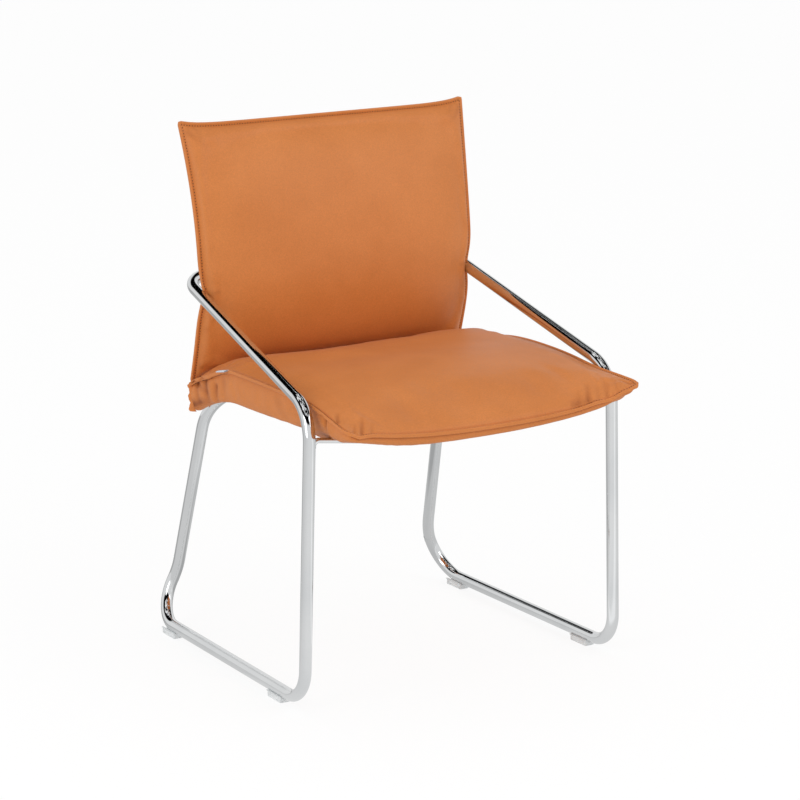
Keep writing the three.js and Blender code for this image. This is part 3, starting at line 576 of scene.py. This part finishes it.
floor_shares = (0.925, 0.9, 0.87, 0.84, 0.8, 0.75, 0.69, 0.62, 0.5, 0.36, 0.18)
inner_columns = [("wall", *column) for column in wall_columns]
inner_columns += [("flap", 0.95, 1, 0), ("flap", 0.94, 1, 0)]
inner_columns += [("floor", share, 1, 0) for share in floor_shares]
middle_shares = [0.035, 0.055, 0.08, 0.11, 0.15, 0.2, 0.26, 0.33, 0.4, 0.47, 0.54, 0.6, 0.655, 0.7]
middle_shares += [0.735, 0.765, 0.795, 0.82, 0.845, 0.87, 0.893, 0.915, 0.935, 0.953, 0.968, 0.98]
inner_rows = roll_rows + [(share, 0, 1) for share in middle_shares] + rear_rows


def seat_under_grid():
    """Lip and seam stations round the edge, wall, flap and floor points inside it."""
    half = [1] + [column[1] for column in inner_columns]
    columns = with_lips([-share for share in half] + [0] + half[::-1])
    rows = with_lips([-1] + [2 * row[0] - 1 for row in inner_rows] + [1])
    grid = panel_grid(columns, rows, lambda column, row: seat_point(column, row, -1))
    first = len(lip_stations) + 1
    last = len(columns) - 1 - first
    for points, row in zip(grid[first:], inner_rows):
        for i, column in enumerate(inner_columns):
            points[first + i] = under_inner(column, row, -1)
            points[last - i] = under_inner(column, row, 1)
        points[first + len(inner_columns)] = under_inner(("floor", 0, 1, 0), row, 1)
    return columns, rows, grid


seat_columns, seat_rows, under_points = seat_under_grid()
upper_points = panel_grid(seat_columns, seat_rows, seat_upper)


def soften(pad, held):
    """Blows a pad up a little as cloth under pressure. Points are held by their weights."""
    frames = 20
    farthest = 0.005
    start = [vertex.co.copy() for vertex in pad.data.vertices]
    group = pad.vertex_groups.new(name="sewn")
    for index, weight in enumerate(held):
        if weight > 0:
            group.add([index], weight, "REPLACE")
    choose(pad)
    cloth = pad.modifiers.new("Cloth", "CLOTH")
    cloth.settings.use_pressure = True
    cloth.settings.uniform_pressure_force = 4
    cloth.settings.effector_weights.gravity = 0
    cloth.settings.vertex_group_mass = "sewn"
    cloth.settings.shrink_min = -0.012
    cloth.settings.tension_stiffness = 25
    cloth.settings.compression_stiffness = 25
    cloth.settings.bending_stiffness = 0.6
    cloth.collision_settings.use_collision = False
    scene = bpy.context.scene
    for number in range(frames):
        scene.frame_set(number + 1)
    bpy.ops.object.modifier_apply(modifier=cloth.name)
    scene.frame_set(1)
    for vertex, before in zip(pad.data.vertices, start):
        move = vertex.co - before
        if move.length > farthest:
            vertex.co = before + move * (farthest / move.length)


def keep_clear(pad, lines, reach):
    """Pushes a pad's points out of a round tube that runs along lines."""
    points = np.empty(len(pad.data.vertices) * 3, np.float32)
    pad.data.vertices.foreach_get("co", points)
    points = points.reshape(-1, 3).astype(float)
    for start, end in lines:
        start, along = np.array(start), np.array(end - start)
        share = np.clip((points - start) @ along / (along @ along), 0, 1)
        away = points - start - share[:, None] * along
        length = np.linalg.norm(away, axis=1)
        near = (length < reach) & (length > 0)
        points[near] += away[near] * (reach / length[near] - 1)[:, None]
    pad.data.vertices.foreach_set("co", points.ravel())
    pad.data.update()


def path_of(corners, bends):
    """Short straight lines along a bent tube's middle, in metres."""
    corners = [Vector(corner) / 1000 for corner in corners]
    points = [corners[0]]
    for start, end, axis, angle, centre in bends_of(corners, bends):
        for step in range(13):
            turn = Matrix.Rotation(angle * step / 12, 3, axis)
            points.append(centre + turn @ (start - centre))
    points.append(corners[-1])
    return list(zip(points, points[1:]))


def seam_distances(pad, point_at):
    """How far each point of a pad lies from its seam, in metres."""
    seam = []
    for share in [i / 150 for i in range(-150, 151)]:
        for edge in (-1, 1):
            seam.append(point_at((edge, None), (share, None), 0) / 1000)
            seam.append(point_at((share, None), (edge, None), 0) / 1000)
    tree = KDTree(len(seam))
    for index, point in enumerate(seam):
        tree.insert(point, index)
    tree.balance()
    return [tree.find(vertex.co)[2] for vertex in pad.data.vertices]


def fill_out(pad, point_at, board_height=0):
    """Rounds a pad and blows it up, held at its seam and by its board, which lies low in it."""
    finish_by(pad, "SUBSURF", levels=1, render_levels=1)
    held = [
        max(1 - ease(distance, 0.007, 0.03), 0.85 if vertex.co.z < board_height else 0)
        for vertex, distance in zip(pad.data.vertices, seam_distances(pad, point_at))
    ]
    soften(pad, held)
    finish_by(pad, "SUBSURF", levels=1, render_levels=1)


def crease(pad, lines, facing):
    """Presses valleys into a pad along lines of (start, end, half width, depth) in mm.

    Only faces that look along facing are pressed, or all where it is zero, and distances along it
    count for a fifth. The depth also stays with each point in an attribute that darkens the
    leather in the valleys: painted shade.
    """
    flat, facing = 1 - 0.8 * np.array(facing), np.array(facing)
    if "painted_crease_shade" not in pad.data.attributes:
        pad.data.attributes.new("painted_crease_shade", "FLOAT", "POINT")
    count = len(pad.data.vertices)
    points, normals = np.empty(count * 3, np.float32), np.empty(count * 3, np.float32)
    pad.data.vertices.foreach_get("co", points)
    pad.data.vertices.foreach_get("normal", normals)
    points, normals = points.reshape(-1, 3).astype(float), normals.reshape(-1, 3)
    folds = np.empty(count, np.float32)
    pad.data.attributes["painted_crease_shade"].data.foreach_get("value", folds)
    for start, end, width, depth in lines:
        side = np.sign(np.array(start) @ facing)
        outward = np.clip(2 * side * (normals @ facing), 0, 1) if facing.any() else 1
        start, along = np.array(start) / 1000 * flat, np.array(end - start) / 1000 * flat
        share = np.clip((points * flat - start) @ along / (along @ along), 0, 1)
        away = np.linalg.norm(points * flat - start - share[:, None] * along, axis=1) * 1000 / width
        press = depth * np.exp(-away * away) * (1 - 0.6 * share) * outward
        points -= normals * (press / 1000)[:, None]
        # Painted shade: each valley's depth is kept to darken the leather there.
        folds += np.maximum(press, 0) / 4
    pad.data.attributes["painted_crease_shade"].data.foreach_set("value", np.minimum(folds, 1).astype(np.float32))
    pad.data.vertices.foreach_set("co", points.ravel())
    pad.data.update()


# Puckers of the upper panel that start at the seam, with painted shade in their valleys: from
# (across, along) to (across, along), half width, depth.
puckers = [
    (0.57, -0.985, 0.67, -0.985, 6.0, 1.7),
    (0.6, -0.99, 0.65, -0.9, 4.0, 1.5),
    (0.67, -0.99, 0.735, -0.88, 4.4, 2.4),
    (0.74, -0.99, 0.79, -0.9, 3.6, 1.0),
    (0.8, -0.99, 0.86, -0.88, 3.2, 1.7),
    (0.87, -0.99, 0.91, -0.9, 3.0, 1.0),
    (0.98, -0.97, 0.95, -0.9, 3.2, 2.2),
    (-0.9, -0.99, -0.84, -0.88, 3.0, 2.6),
    (-0.95, -0.98, -0.9, -0.9, 3.0, 1.5),
    (-0.83, -0.99, -0.79, -0.92, 3.4, 1.2),
    (-0.99, -0.84, -0.94, -0.75, 3.4, 2.8),
    (-0.99, 0.62, -0.955, 0.64, 4.0, 1.2),
    (-0.99, 0.78, -0.95, 0.8, 4.0, 1.4),
]
pucker_lines = [
    (seat_upper((a, None), (b, None)), seat_upper((c, None), (d, None)), width, depth)
    for a, b, c, d, width, depth in puckers
]
# Soft folds that run down the side walls near the rear corners, and the walls' tuck at the front
# legs, with painted shade in their valleys, also under the flaps and beside the legs: (distance
# behind the front leg, height) of top and foot, half width, depth.
folds = [
    ((345, 414), (331, 388), 7, 3.6),
    ((323, 418), (320, 394), 7, -2.2),
    ((308, 414), (309, 390), 5.5, 3.4),
    ((284, 426), (280, 400), 9, 1.4),
    ((372, 402), (362, 380), 6, 2.6),
    ((388, 412), (340, 398), 5, 3.0),
    ((394, 366), (340, 384), 8, 4.6),
    ((120, 430), (96, 408), 12, 1.2),
    ((-14, 434), (-17, 416), 4, 3.6),
    ((-48, 402), (12, 402), 7, 3.2),
    ((56, 394), (10, 394), 12, 4.4),
]
wall_x = 240
wall_lines = []
for side in (-1, 1):
    for top, foot, width, depth in folds:
        start, end = [Vector((side * wall_x, front_leg_y + y, z)) for y, z in (top, foot)]
        wall_lines.append((start, end, width, depth))
tube_lines = path_of(frame_corners(-1), frame_bends) + path_of(frame_corners(1), frame_bends)
tube_reach = (tube_radius + 0.6) / 1000
rod_reach = (rod_radius + 0.4) / 1000
seat = pad_mesh("seat_pad", upper_points, under_points)
fill_out(seat, seat_point, board_height=0.412)
crease(seat, pucker_lines, (0, 0, 1))
crease(seat, wall_lines, (1, 0, 0))
keep_clear(seat, tube_lines, tube_reach)
keep_clear(seat, path_of(rod_corners, rod_bends), rod_reach)
smooth_shade(seat, 60)
tan = leather_finish()
seat.data.materials.append(tan)
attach(seat, "root")
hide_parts("seat_cover_top", "seat_cover_under", "seat_foam")


# Rear corner flanges: where the side and rear walls of the seat meet, their edges are sewn into a
# crinkled upright lip of doubled leather.

for word, side in (("left", -1), ("right", 1)):
    bpy.ops.object.select_all(action="DESELECT")
    bpy.ops.mesh.primitive_circle_add(vertices=14, radius=1, location=(0, 0, 0))
    flange = bpy.context.object
    flange.name = "seat_flange_" + word
    bpy.ops.object.mode_set(mode="EDIT")
    bpy.ops.mesh.select_all(action="SELECT")
    bpy.ops.transform.resize(value=(0.0054, 0.0017, 1))
    bpy.ops.object.mode_set(mode="OBJECT")
    root = Vector((side * 239.5, front_leg_y + 387.5, 401)) / 1000
    flange.data.transform(Matrix.Translation(root) @ Matrix.Rotation(side * math.radians(42), 4, "Z"))
    bpy.ops.object.mode_set(mode="EDIT")
    bpy.ops.mesh.select_all(action="SELECT")
    # On its way down it sways across its thin way and leans in a little.
    thin_x, thin_y = side * 0.67, 0.74
    before = 0
    for step in range(1, 29):
        sway = 0.0013 * math.sin(step * 0.52 + 1) + 0.0004 * math.sin(step * 1.3 + side)
        shift = sway - before
        before = sway
        move = (shift * thin_x - 0.00008 * side, shift * thin_y, -0.0015)
        bpy.ops.mesh.extrude_region_move(TRANSFORM_OT_translate={"value": move})
    bpy.ops.object.mode_set(mode="OBJECT")
    close_ends(flange)
    finish_by(flange, "BEVEL", width=0.0005, segments=2, limit_method="ANGLE", angle_limit=0.9)
    smooth_shade(flange, 60)
    flange.data.materials.append(tan)
    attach(flange, "root")


# Back pad: a front and a rear panel of the same leather, sewn together in a flat lip all round,
# over a board with foam on both faces. Its corners stand out as dog ears.

back_bottom = 418
back_height = 365.5
lumbar_height = 560
lumbar_setback = 364
arm_pinch_height = arm_front_height + arm_rise * lumbar_setback / arm_length


def back_half_width_at(height):
    """Half the back's width, with a flare at the top and a pinch between the arms."""
    share = 2 * (height - back_bottom) / back_height - 1
    flare = 8 if share > 0 else -1.5
    return 231 + flare * share * share - 11 * hump(height, arm_pinch_height, 15)


def back_seam_y(height):
    """The side seam's bow: foremost at the lumbar height, and back from there both ways."""
    bow, span = (42, 223.5) if height > lumbar_height else (30, 142)
    return front_leg_y + lumbar_setback + bow * (abs(height - lumbar_height) / span) ** 1.55


def back_point(column, row, way):
    """A point of the back's front leather (way -1), its rear one (1) or the seam between (0)."""
    across, along = column[0], row[0]
    out_x, off_x = lip_of(across, column[1])
    out_z, off_z = lip_of(along, row[1])
    off = (off_x if abs(out_x) > abs(out_z) else off_z) if out_x or out_z else seam_off
    pull = 1 - 0.2 * abs(out_x * out_z) / lip_width**2
    ears = 6 * abs(across) ** 10 * ease(along, 0.6, 1) - 12 * abs(across) ** 8 * ease(-along, 0.7, 1)
    height = back_bottom + back_height * (along + 1) / 2 + ears
    x = across * back_half_width_at(height) + out_x * pull
    crown = pillow(across, along, 5) if column[1] is None and row[1] is None else 0
    depth = off + (42 if way < 0 else 36) * crown + (seam_off if crown else 0)
    return Vector((x, back_seam_y(height) + way * depth, height + out_z * pull))


back_columns = with_lips(crowded(22))
back_rows = with_lips(crowded(20))
back_front = panel_grid(back_columns, back_rows, lambda column, row: back_point(column, row, -1))
back_rear = panel_grid(back_columns, back_rows, lambda column, row: back_point(column, row, 1))
back = pad_mesh("back_pad", back_front, back_rear)
fill_out(back, back_point)
pinch = 2 * (arm_pinch_height - back_bottom) / back_height - 1
# Puckers at the arms and the corners, as on the seat's panel, with painted shade in their valleys.
tucks = [
    (a * side, b, c * side, d, width, depth)
    for side in (-1, 1)
    for a, b, c, d, width, depth in (
        (0.99, pinch + 0.03, 0.9, pinch + 0.06, 3.5, 2.0),
        (0.99, pinch - 0.04, 0.93, pinch - 0.07, 3.0, 1.4),
        (0.985, 0.95, 0.9, 0.87, 5.0, 1.4),
        (0.93, 0.99, 0.9, 0.93, 4.0, 1.2),
        (0.985, -0.9, 0.9, -0.86, 5.0, 1.6),
        (0.99, -0.62, 0.94, -0.6, 4.0, 1.0),
    )
]
for way in (-1, 1):
    places = [
        (back_point((a, None), (b, None), way), back_point((c, None), (d, None), way), width, depth)
        for a, b, c, d, width, depth in tucks
    ]
    crease(back, places, (0, 0, 0))
keep_clear(back, tube_lines, tube_reach)
smooth_shade(back, 60)
back.data.materials.append(tan)
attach(back, "root")
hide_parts("back_cover_front", "back_cover_rear", "back_foam_front", "back_foam_rear")


# Stitching: a row of short stitches in thick tan thread, sewn through both leathers just outside
# the seam, on the seat's lip and on the back's. The thread is coloured dark brown: painted shade
# of the stitch holes over its own tan.

def wave(add, scale, way):
    """Even bands across a piece, for twisted or woven threads."""
    kind = {"wave_type": "BANDS", "bands_direction": way}
    return add("TexWave", {"Vector": add.place}, {"Scale": scale}, **kind).outputs["Fac"]


def thread_finish():
    """Twisted polyester thread, dark brown: its own tone with painted shade of the stitch holes."""
    material, shader, add = new_material("thread_with_painted_hole_shade")
    ply = wave(add, 900, "DIAGONAL")
    # Painted shade: these dark tones stand in for the shade in the stitch holes.
    tone = ramp(add, ply, [(0.2, (0.08, 0.022, 0.008)), (0.8, (0.15, 0.044, 0.014))])
    rough = ramp(add, noise(add, 2500, 2), [(0.3, 0.55), (0.7, 0.75)])
    dress(shader, add, tone, rough, [(ply, 0.4, 0.0001)])
    return material


def sew(name, line, lift):
    """Stitches laid end to end along a line of points in metres, with their tops towards lift."""
    bpy.ops.object.select_all(action="DESELECT")
    bpy.ops.mesh.primitive_uv_sphere_add(segments=8, ring_count=5, radius=1)
    stitch = bpy.context.object
    bpy.ops.object.mode_set(mode="EDIT")
    bpy.ops.mesh.select_all(action="SELECT")
    bpy.ops.transform.resize(value=(0.00075, 0.0009, 0.0005))
    bpy.ops.object.mode_set(mode="OBJECT")
    shape = bmesh.new()
    pitch = 0.0044
    lengths = [0]
    for a, b in zip(line, line[1:]):
        lengths.append(lengths[-1] + (b - a).length)
    count = int(lengths[-1] / pitch)
    at = 0
    for number in range(count):
        target = (number + 0.5) * pitch
        while lengths[at + 1] < target:
            at += 1
        share = (target - lengths[at]) / (lengths[at + 1] - lengths[at])
        place = line[at].lerp(line[at + 1], share)
        along = (line[at + 1] - line[at]).normalized()
        side = along.cross(lift).normalized()
        up = side.cross(along).normalized()
        turn = Matrix((side, along, up)).transposed().to_4x4()
        copy = stitch.data.copy()
        copy.transform(Matrix.Translation(place) @ turn)
        shape.from_mesh(copy)
        bpy.data.meshes.remove(copy)
    mesh = bpy.data.meshes.new(name)
    shape.to_mesh(mesh)
    shape.free()
    bpy.data.objects.remove(stitch)
    row = bpy.data.objects.new(name, mesh)
    bpy.context.scene.collection.objects.link(row)
    smooth_shade(row, 80)
    return row


def loop_of(place):
    """Points round a pad, a little way out on its lip, from place(column share, row share)."""
    steps = 120
    ring = []
    for start, end, column, row in (
        (-1, 1, None, -1),
        (-1, 1, 1, None),
        (1, -1, None, 1),
        (1, -1, -1, None),
    ):
        for i in range(steps):
            share = start + (end - start) * i / steps
            ring.append(place(share if column is None else column, share if row is None else row))
    ring.append(ring[0])
    return ring


def outward(share, reach):
    """How far out stitches lie: by their reach at an edge, and not at all elsewhere."""
    return math.copysign(reach, share) if abs(share) == 1 else 0


# How far the stitches lie out from the seam, and off its plane.
seat_stitch_out, back_stitch_out, stitch_off = 1.8, 0.9, 2.0


def seat_stitch(way):
    """The place of a stitch on the seat's upper (1) or under (-1) leather."""

    def place(across, along):
        x = outward(across, seat_stitch_out)
        y = outward(along, seat_stitch_out)
        rise = way * stitch_off + (0.8 if x else 0)
        return (seat_point((across, None), (along, None), 0) + Vector((x, y, rise))) / 1000

    return place


def back_stitch(way):
    """The place of a stitch on the back's front (-1) or rear (1) leather."""

    def place(across, along):
        x = outward(across, back_stitch_out)
        z = outward(along, back_stitch_out)
        point = back_point((across, None), (along, None), 0)
        return (point + Vector((x, way * stitch_off, z))) / 1000

    return place


thread = thread_finish()
for name, place, lift in (
    ("seat_stitching_upper", seat_stitch(1), (0, 0, 1)),
    ("seat_stitching_under", seat_stitch(-1), (0, 0, -1)),
    ("back_stitching_front", back_stitch(-1), (0, -1, 0)),
    ("back_stitching_rear", back_stitch(1), (0, 1, 0)),
):
    row = sew(name, loop_of(place), Vector(lift))
    row.data.materials.append(thread)
    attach(row, "root")


# Boards and fixings: plywood boards inside the pads, zinc-plated steel pins, bolts, inserts and
# screws, and black moulded spacers and clips. Their solids are right as they are.

def steel_finish():
    """Zinc-plated steel: a satin grey with faint blue and yellow clouds."""
    material, shader, add = new_material("zinc_plate")
    cloud = noise(add, 160, 3)
    tone = ramp(add, cloud, [(0.3, (0.42, 0.44, 0.47)), (0.7, (0.55, 0.54, 0.5))])
    dress(shader, add, tone, ramp(add, cloud, [(0.3, 0.3), (0.7, 0.42)]))
    shader.inputs["Metallic"].default_value = 1
    return material


def plywood_finish():
    """Raw birch plywood: long grain lines over a pale face."""
    material, shader, add = new_material("plywood")
    add.place = add("Mapping", {"Vector": add.place}, {"Scale": (2, 40, 40)}).outputs["Vector"]
    line = noise(add, 6, 6)
    tone = ramp(add, line, [(0.3, (0.5, 0.33, 0.16)), (0.7, (0.66, 0.47, 0.26))])
    dress(shader, add, tone, ramp(add, line, [(0.3, 0.6), (0.7, 0.8)]))
    return material


def black_finish():
    """Black moulded plastic with a fine matt grain."""
    material, shader, add = new_material("black_plastic")
    grain = noise(add, 1400, 3)
    tone = ramp(add, grain, [(0.3, (0.01, 0.01, 0.011)), (0.7, (0.02, 0.02, 0.022))])
    dress(shader, add, tone, ramp(add, grain, [(0.3, 0.42), (0.7, 0.58)]), [(grain, 0.15, 0.0001)])
    return material


steel, plywood, black = steel_finish(), plywood_finish(), black_finish()
for name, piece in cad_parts.items():
    if "pin" in name or "bolt" in name or "insert" in name or "screw" in name:
        look = steel
    elif "board" in name:
        look = plywood
    elif "spacer" in name or "clip" in name:
        look = black
    else:
        continue
    piece.data.materials.clear()
    piece.data.materials.append(look)


# Tag: a short piece of blank white woven tape, folded into a loop. Its ends are caught in the left
# seam of the seat when the leathers are sewn together.

def tape_finish():
    """White satin tape with a fine weave."""
    material, shader, add = new_material("white_tape")
    threads = {0: wave(add, 1500, "Y"), 1: wave(add, 1500, "Z")}
    weave = add("Math", threads, operation="MULTIPLY").outputs["Value"]
    tone = ramp(add, weave, [(0.0, (0.62, 0.68, 0.76)), (1.0, (0.78, 0.83, 0.88))])
    dress(shader, add, tone, ramp(add, weave, [(0.0, 0.75), (1.0, 0.6)]), [(weave, 0.4, 0.0001)])
    return material


bpy.ops.object.select_all(action="DESELECT")
bpy.ops.mesh.primitive_plane_add(size=1, location=(0, 0, 0))
tag = bpy.context.object
tag.name = "tag_loop"
bpy.ops.object.mode_set(mode="EDIT")
bpy.ops.mesh.select_all(action="SELECT")
bpy.ops.transform.resize(value=(0.0044, 0.026, 1))
bpy.ops.mesh.select_all(action="DESELECT")
bpy.ops.object.mode_set(mode="OBJECT")
for edge in tag.data.edges:
    edge.select = all(tag.data.vertices[i].co.x < 0 for i in edge.vertices)
for vertex in tag.data.vertices:
    vertex.select = vertex.co.x < 0
bpy.ops.object.mode_set(mode="EDIT")
for x, z in ((-4, -0.9), (-0.7, -0.7), (0.5, -0.6), (3.6, 0.5), (4, 0.9)):
    bpy.ops.mesh.extrude_region_move(TRANSFORM_OT_translate={"value": (x / 1000, 0, z / 1000)})
bpy.ops.object.mode_set(mode="OBJECT")
tag_share = 0.757
middle = seat_point((-1, None), (2 * tag_share - 1, None), 0)
ahead = seat_point((-1, None), (2 * (tag_share - 0.02) - 1, None), 0)
slope = math.atan2(middle.z - ahead.z, middle.y - ahead.y)
tag.data.transform(
    Matrix.Translation((middle + Vector((-6.2, 0, 4.4))) / 1000) @ Matrix.Rotation(slope, 4, "X")
)
finish_by(tag, "SOLIDIFY", thickness=0.00035, offset=0)
finish_by(tag, "BEVEL", width=0.0001, segments=1)
smooth_shade(tag, 50)
tag.data.materials.append(tape_finish())
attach(tag, "root")
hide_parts("seat_tag")


# Studio: a white floor under white light from all round, a soft lamp in front and one at the left.
# Only the chrome and the sheen of the hide see the dark curtain overhead and the greys round it.

bpy.ops.object.select_all(action="DESELECT")
bpy.ops.mesh.primitive_plane_add(size=60, location=(0, 0, 0))
floor = bpy.context.object
floor.name = "floor"
paper, paper_shader, add = new_material("floor_paper")
shade = ramp(add, noise(add, 60, 4), [(0.3, 0.8), (0.7, 0.82)])
add.tree.links.new(shade, paper_shader.inputs["Base Color"])
paper_shader.inputs["Roughness"].default_value = 0.9
round_about = add("TexGradient", {"Vector": add.place}, gradient_type="RADIAL").outputs["Fac"]
wall_greys = [(0.0, 0.74), (0.16, 0.84), (0.28, 0.84), (0.31, 1.0), (0.345, 1.0), (0.37, 0.78)]
wall_greys += [(0.5, 0.7), (0.664, 0.6), (0.75, 0.62), (0.79, 0.46), (0.86, 0.46), (0.89, 0.7)]
walls = ramp(add, round_about, wall_greys)
glint = add("Emission", {"Color": walls}, {"Strength": 1}).outputs["Emission"]
white = (1, 1, 1, 1)
glow = add("Emission", sockets={"Color": white, "Strength": 1.05}).outputs["Emission"]
rays = add("LightPath").outputs
share = add("Math", {0: rays["Is Camera Ray"]}, {1: 0.82}, operation="MULTIPLY").outputs["Value"]
lit = add("MixShader", {0: share, 1: paper_shader.outputs["BSDF"], 2: glow}).outputs["Shader"]
sharp_rays = {0: rays["Is Glossy Ray"], 1: rays["Is Transmission Ray"]}
mirrored = add("Math", sharp_rays, operation="MAXIMUM").outputs["Value"]
shown = add("MixShader", {0: mirrored, 1: lit, 2: glint}).outputs["Shader"]
add.tree.links.new(shown, add.tree.nodes["Material Output"].inputs["Surface"])
floor.data.materials.append(paper)

world = bpy.data.worlds.new("studio")
bpy.context.scene.world = world
world.use_nodes = True
add = node_maker(world.node_tree, "Generated")
lighting = world.node_tree.nodes["Background"]
lighting.inputs["Color"].default_value = white
lighting.inputs["Strength"].default_value = 0.84
backdrop = add("Background", sockets={"Color": white, "Strength": 1}).outputs["Background"]
upward = add("SeparateXYZ", {"Vector": add.place}).outputs["Z"]
height = add("MapRange", {"Value": upward}, {"From Min": -1}).outputs["Result"]
greys = [(0.0, 0.78), (0.7, 0.84), (0.755, 0.8), (0.77, 0.4), (0.78, 0.0), (0.895, 0.0), (0.9, 1.0)]
blotches = add("TexNoise", {"Vector": add.place}, {"Scale": 4}).outputs["Fac"]
gaps = add("MapRange", {"Value": blotches}, {"From Min": 0.49, "From Max": 0.51}).outputs["Result"]
below = add("Math", {0: height}, {1: 0.88}, operation="LESS_THAN").outputs["Value"]
bright = add("Math", {0: below, 1: gaps}, operation="MAXIMUM").outputs["Value"]
curtain = {"Factor": bright, "B": ramp(add, height, greys)}
room = add("Mix", curtain, {"A": (0, 0, 0, 1)}, data_type="RGBA").outputs["Result"]
rays = add("LightPath").outputs
glossy = {0: rays["Is Glossy Ray"], 1: lighting.outputs["Background"]}
glossy[2] = add("Background", {"Color": room}).outputs["Background"]
unseen = add("MixShader", glossy).outputs["Shader"]
seen = add("MixShader", {0: rays["Is Camera Ray"], 1: unseen, 2: backdrop}).outputs["Shader"]
add.tree.links.new(seen, add.tree.nodes["World Output"].inputs["Surface"])


def area_lamp(name, place, size, power):
    """A soft rectangular lamp in metres and watts that points at the chair's seat."""
    bpy.ops.object.light_add(type="AREA", location=place)
    lamp = bpy.context.object
    lamp.name = name
    lamp.rotation_euler = (Vector((0, 0, 0.45)) - Vector(place)).to_track_quat("-Z", "Y").to_euler()
    lamp.data.shape = "RECTANGLE"
    lamp.data.size, lamp.data.size_y = size
    lamp.data.energy = power


area_lamp("key_lamp", (1.6, -2.6, 2.4), (2.2, 1.8), 20)
area_lamp("side_lamp", (-2.8, -1.0, 1.3), (1.2, 1.8), 16)

bpy.context.scene.view_settings.view_transform = "Standard"
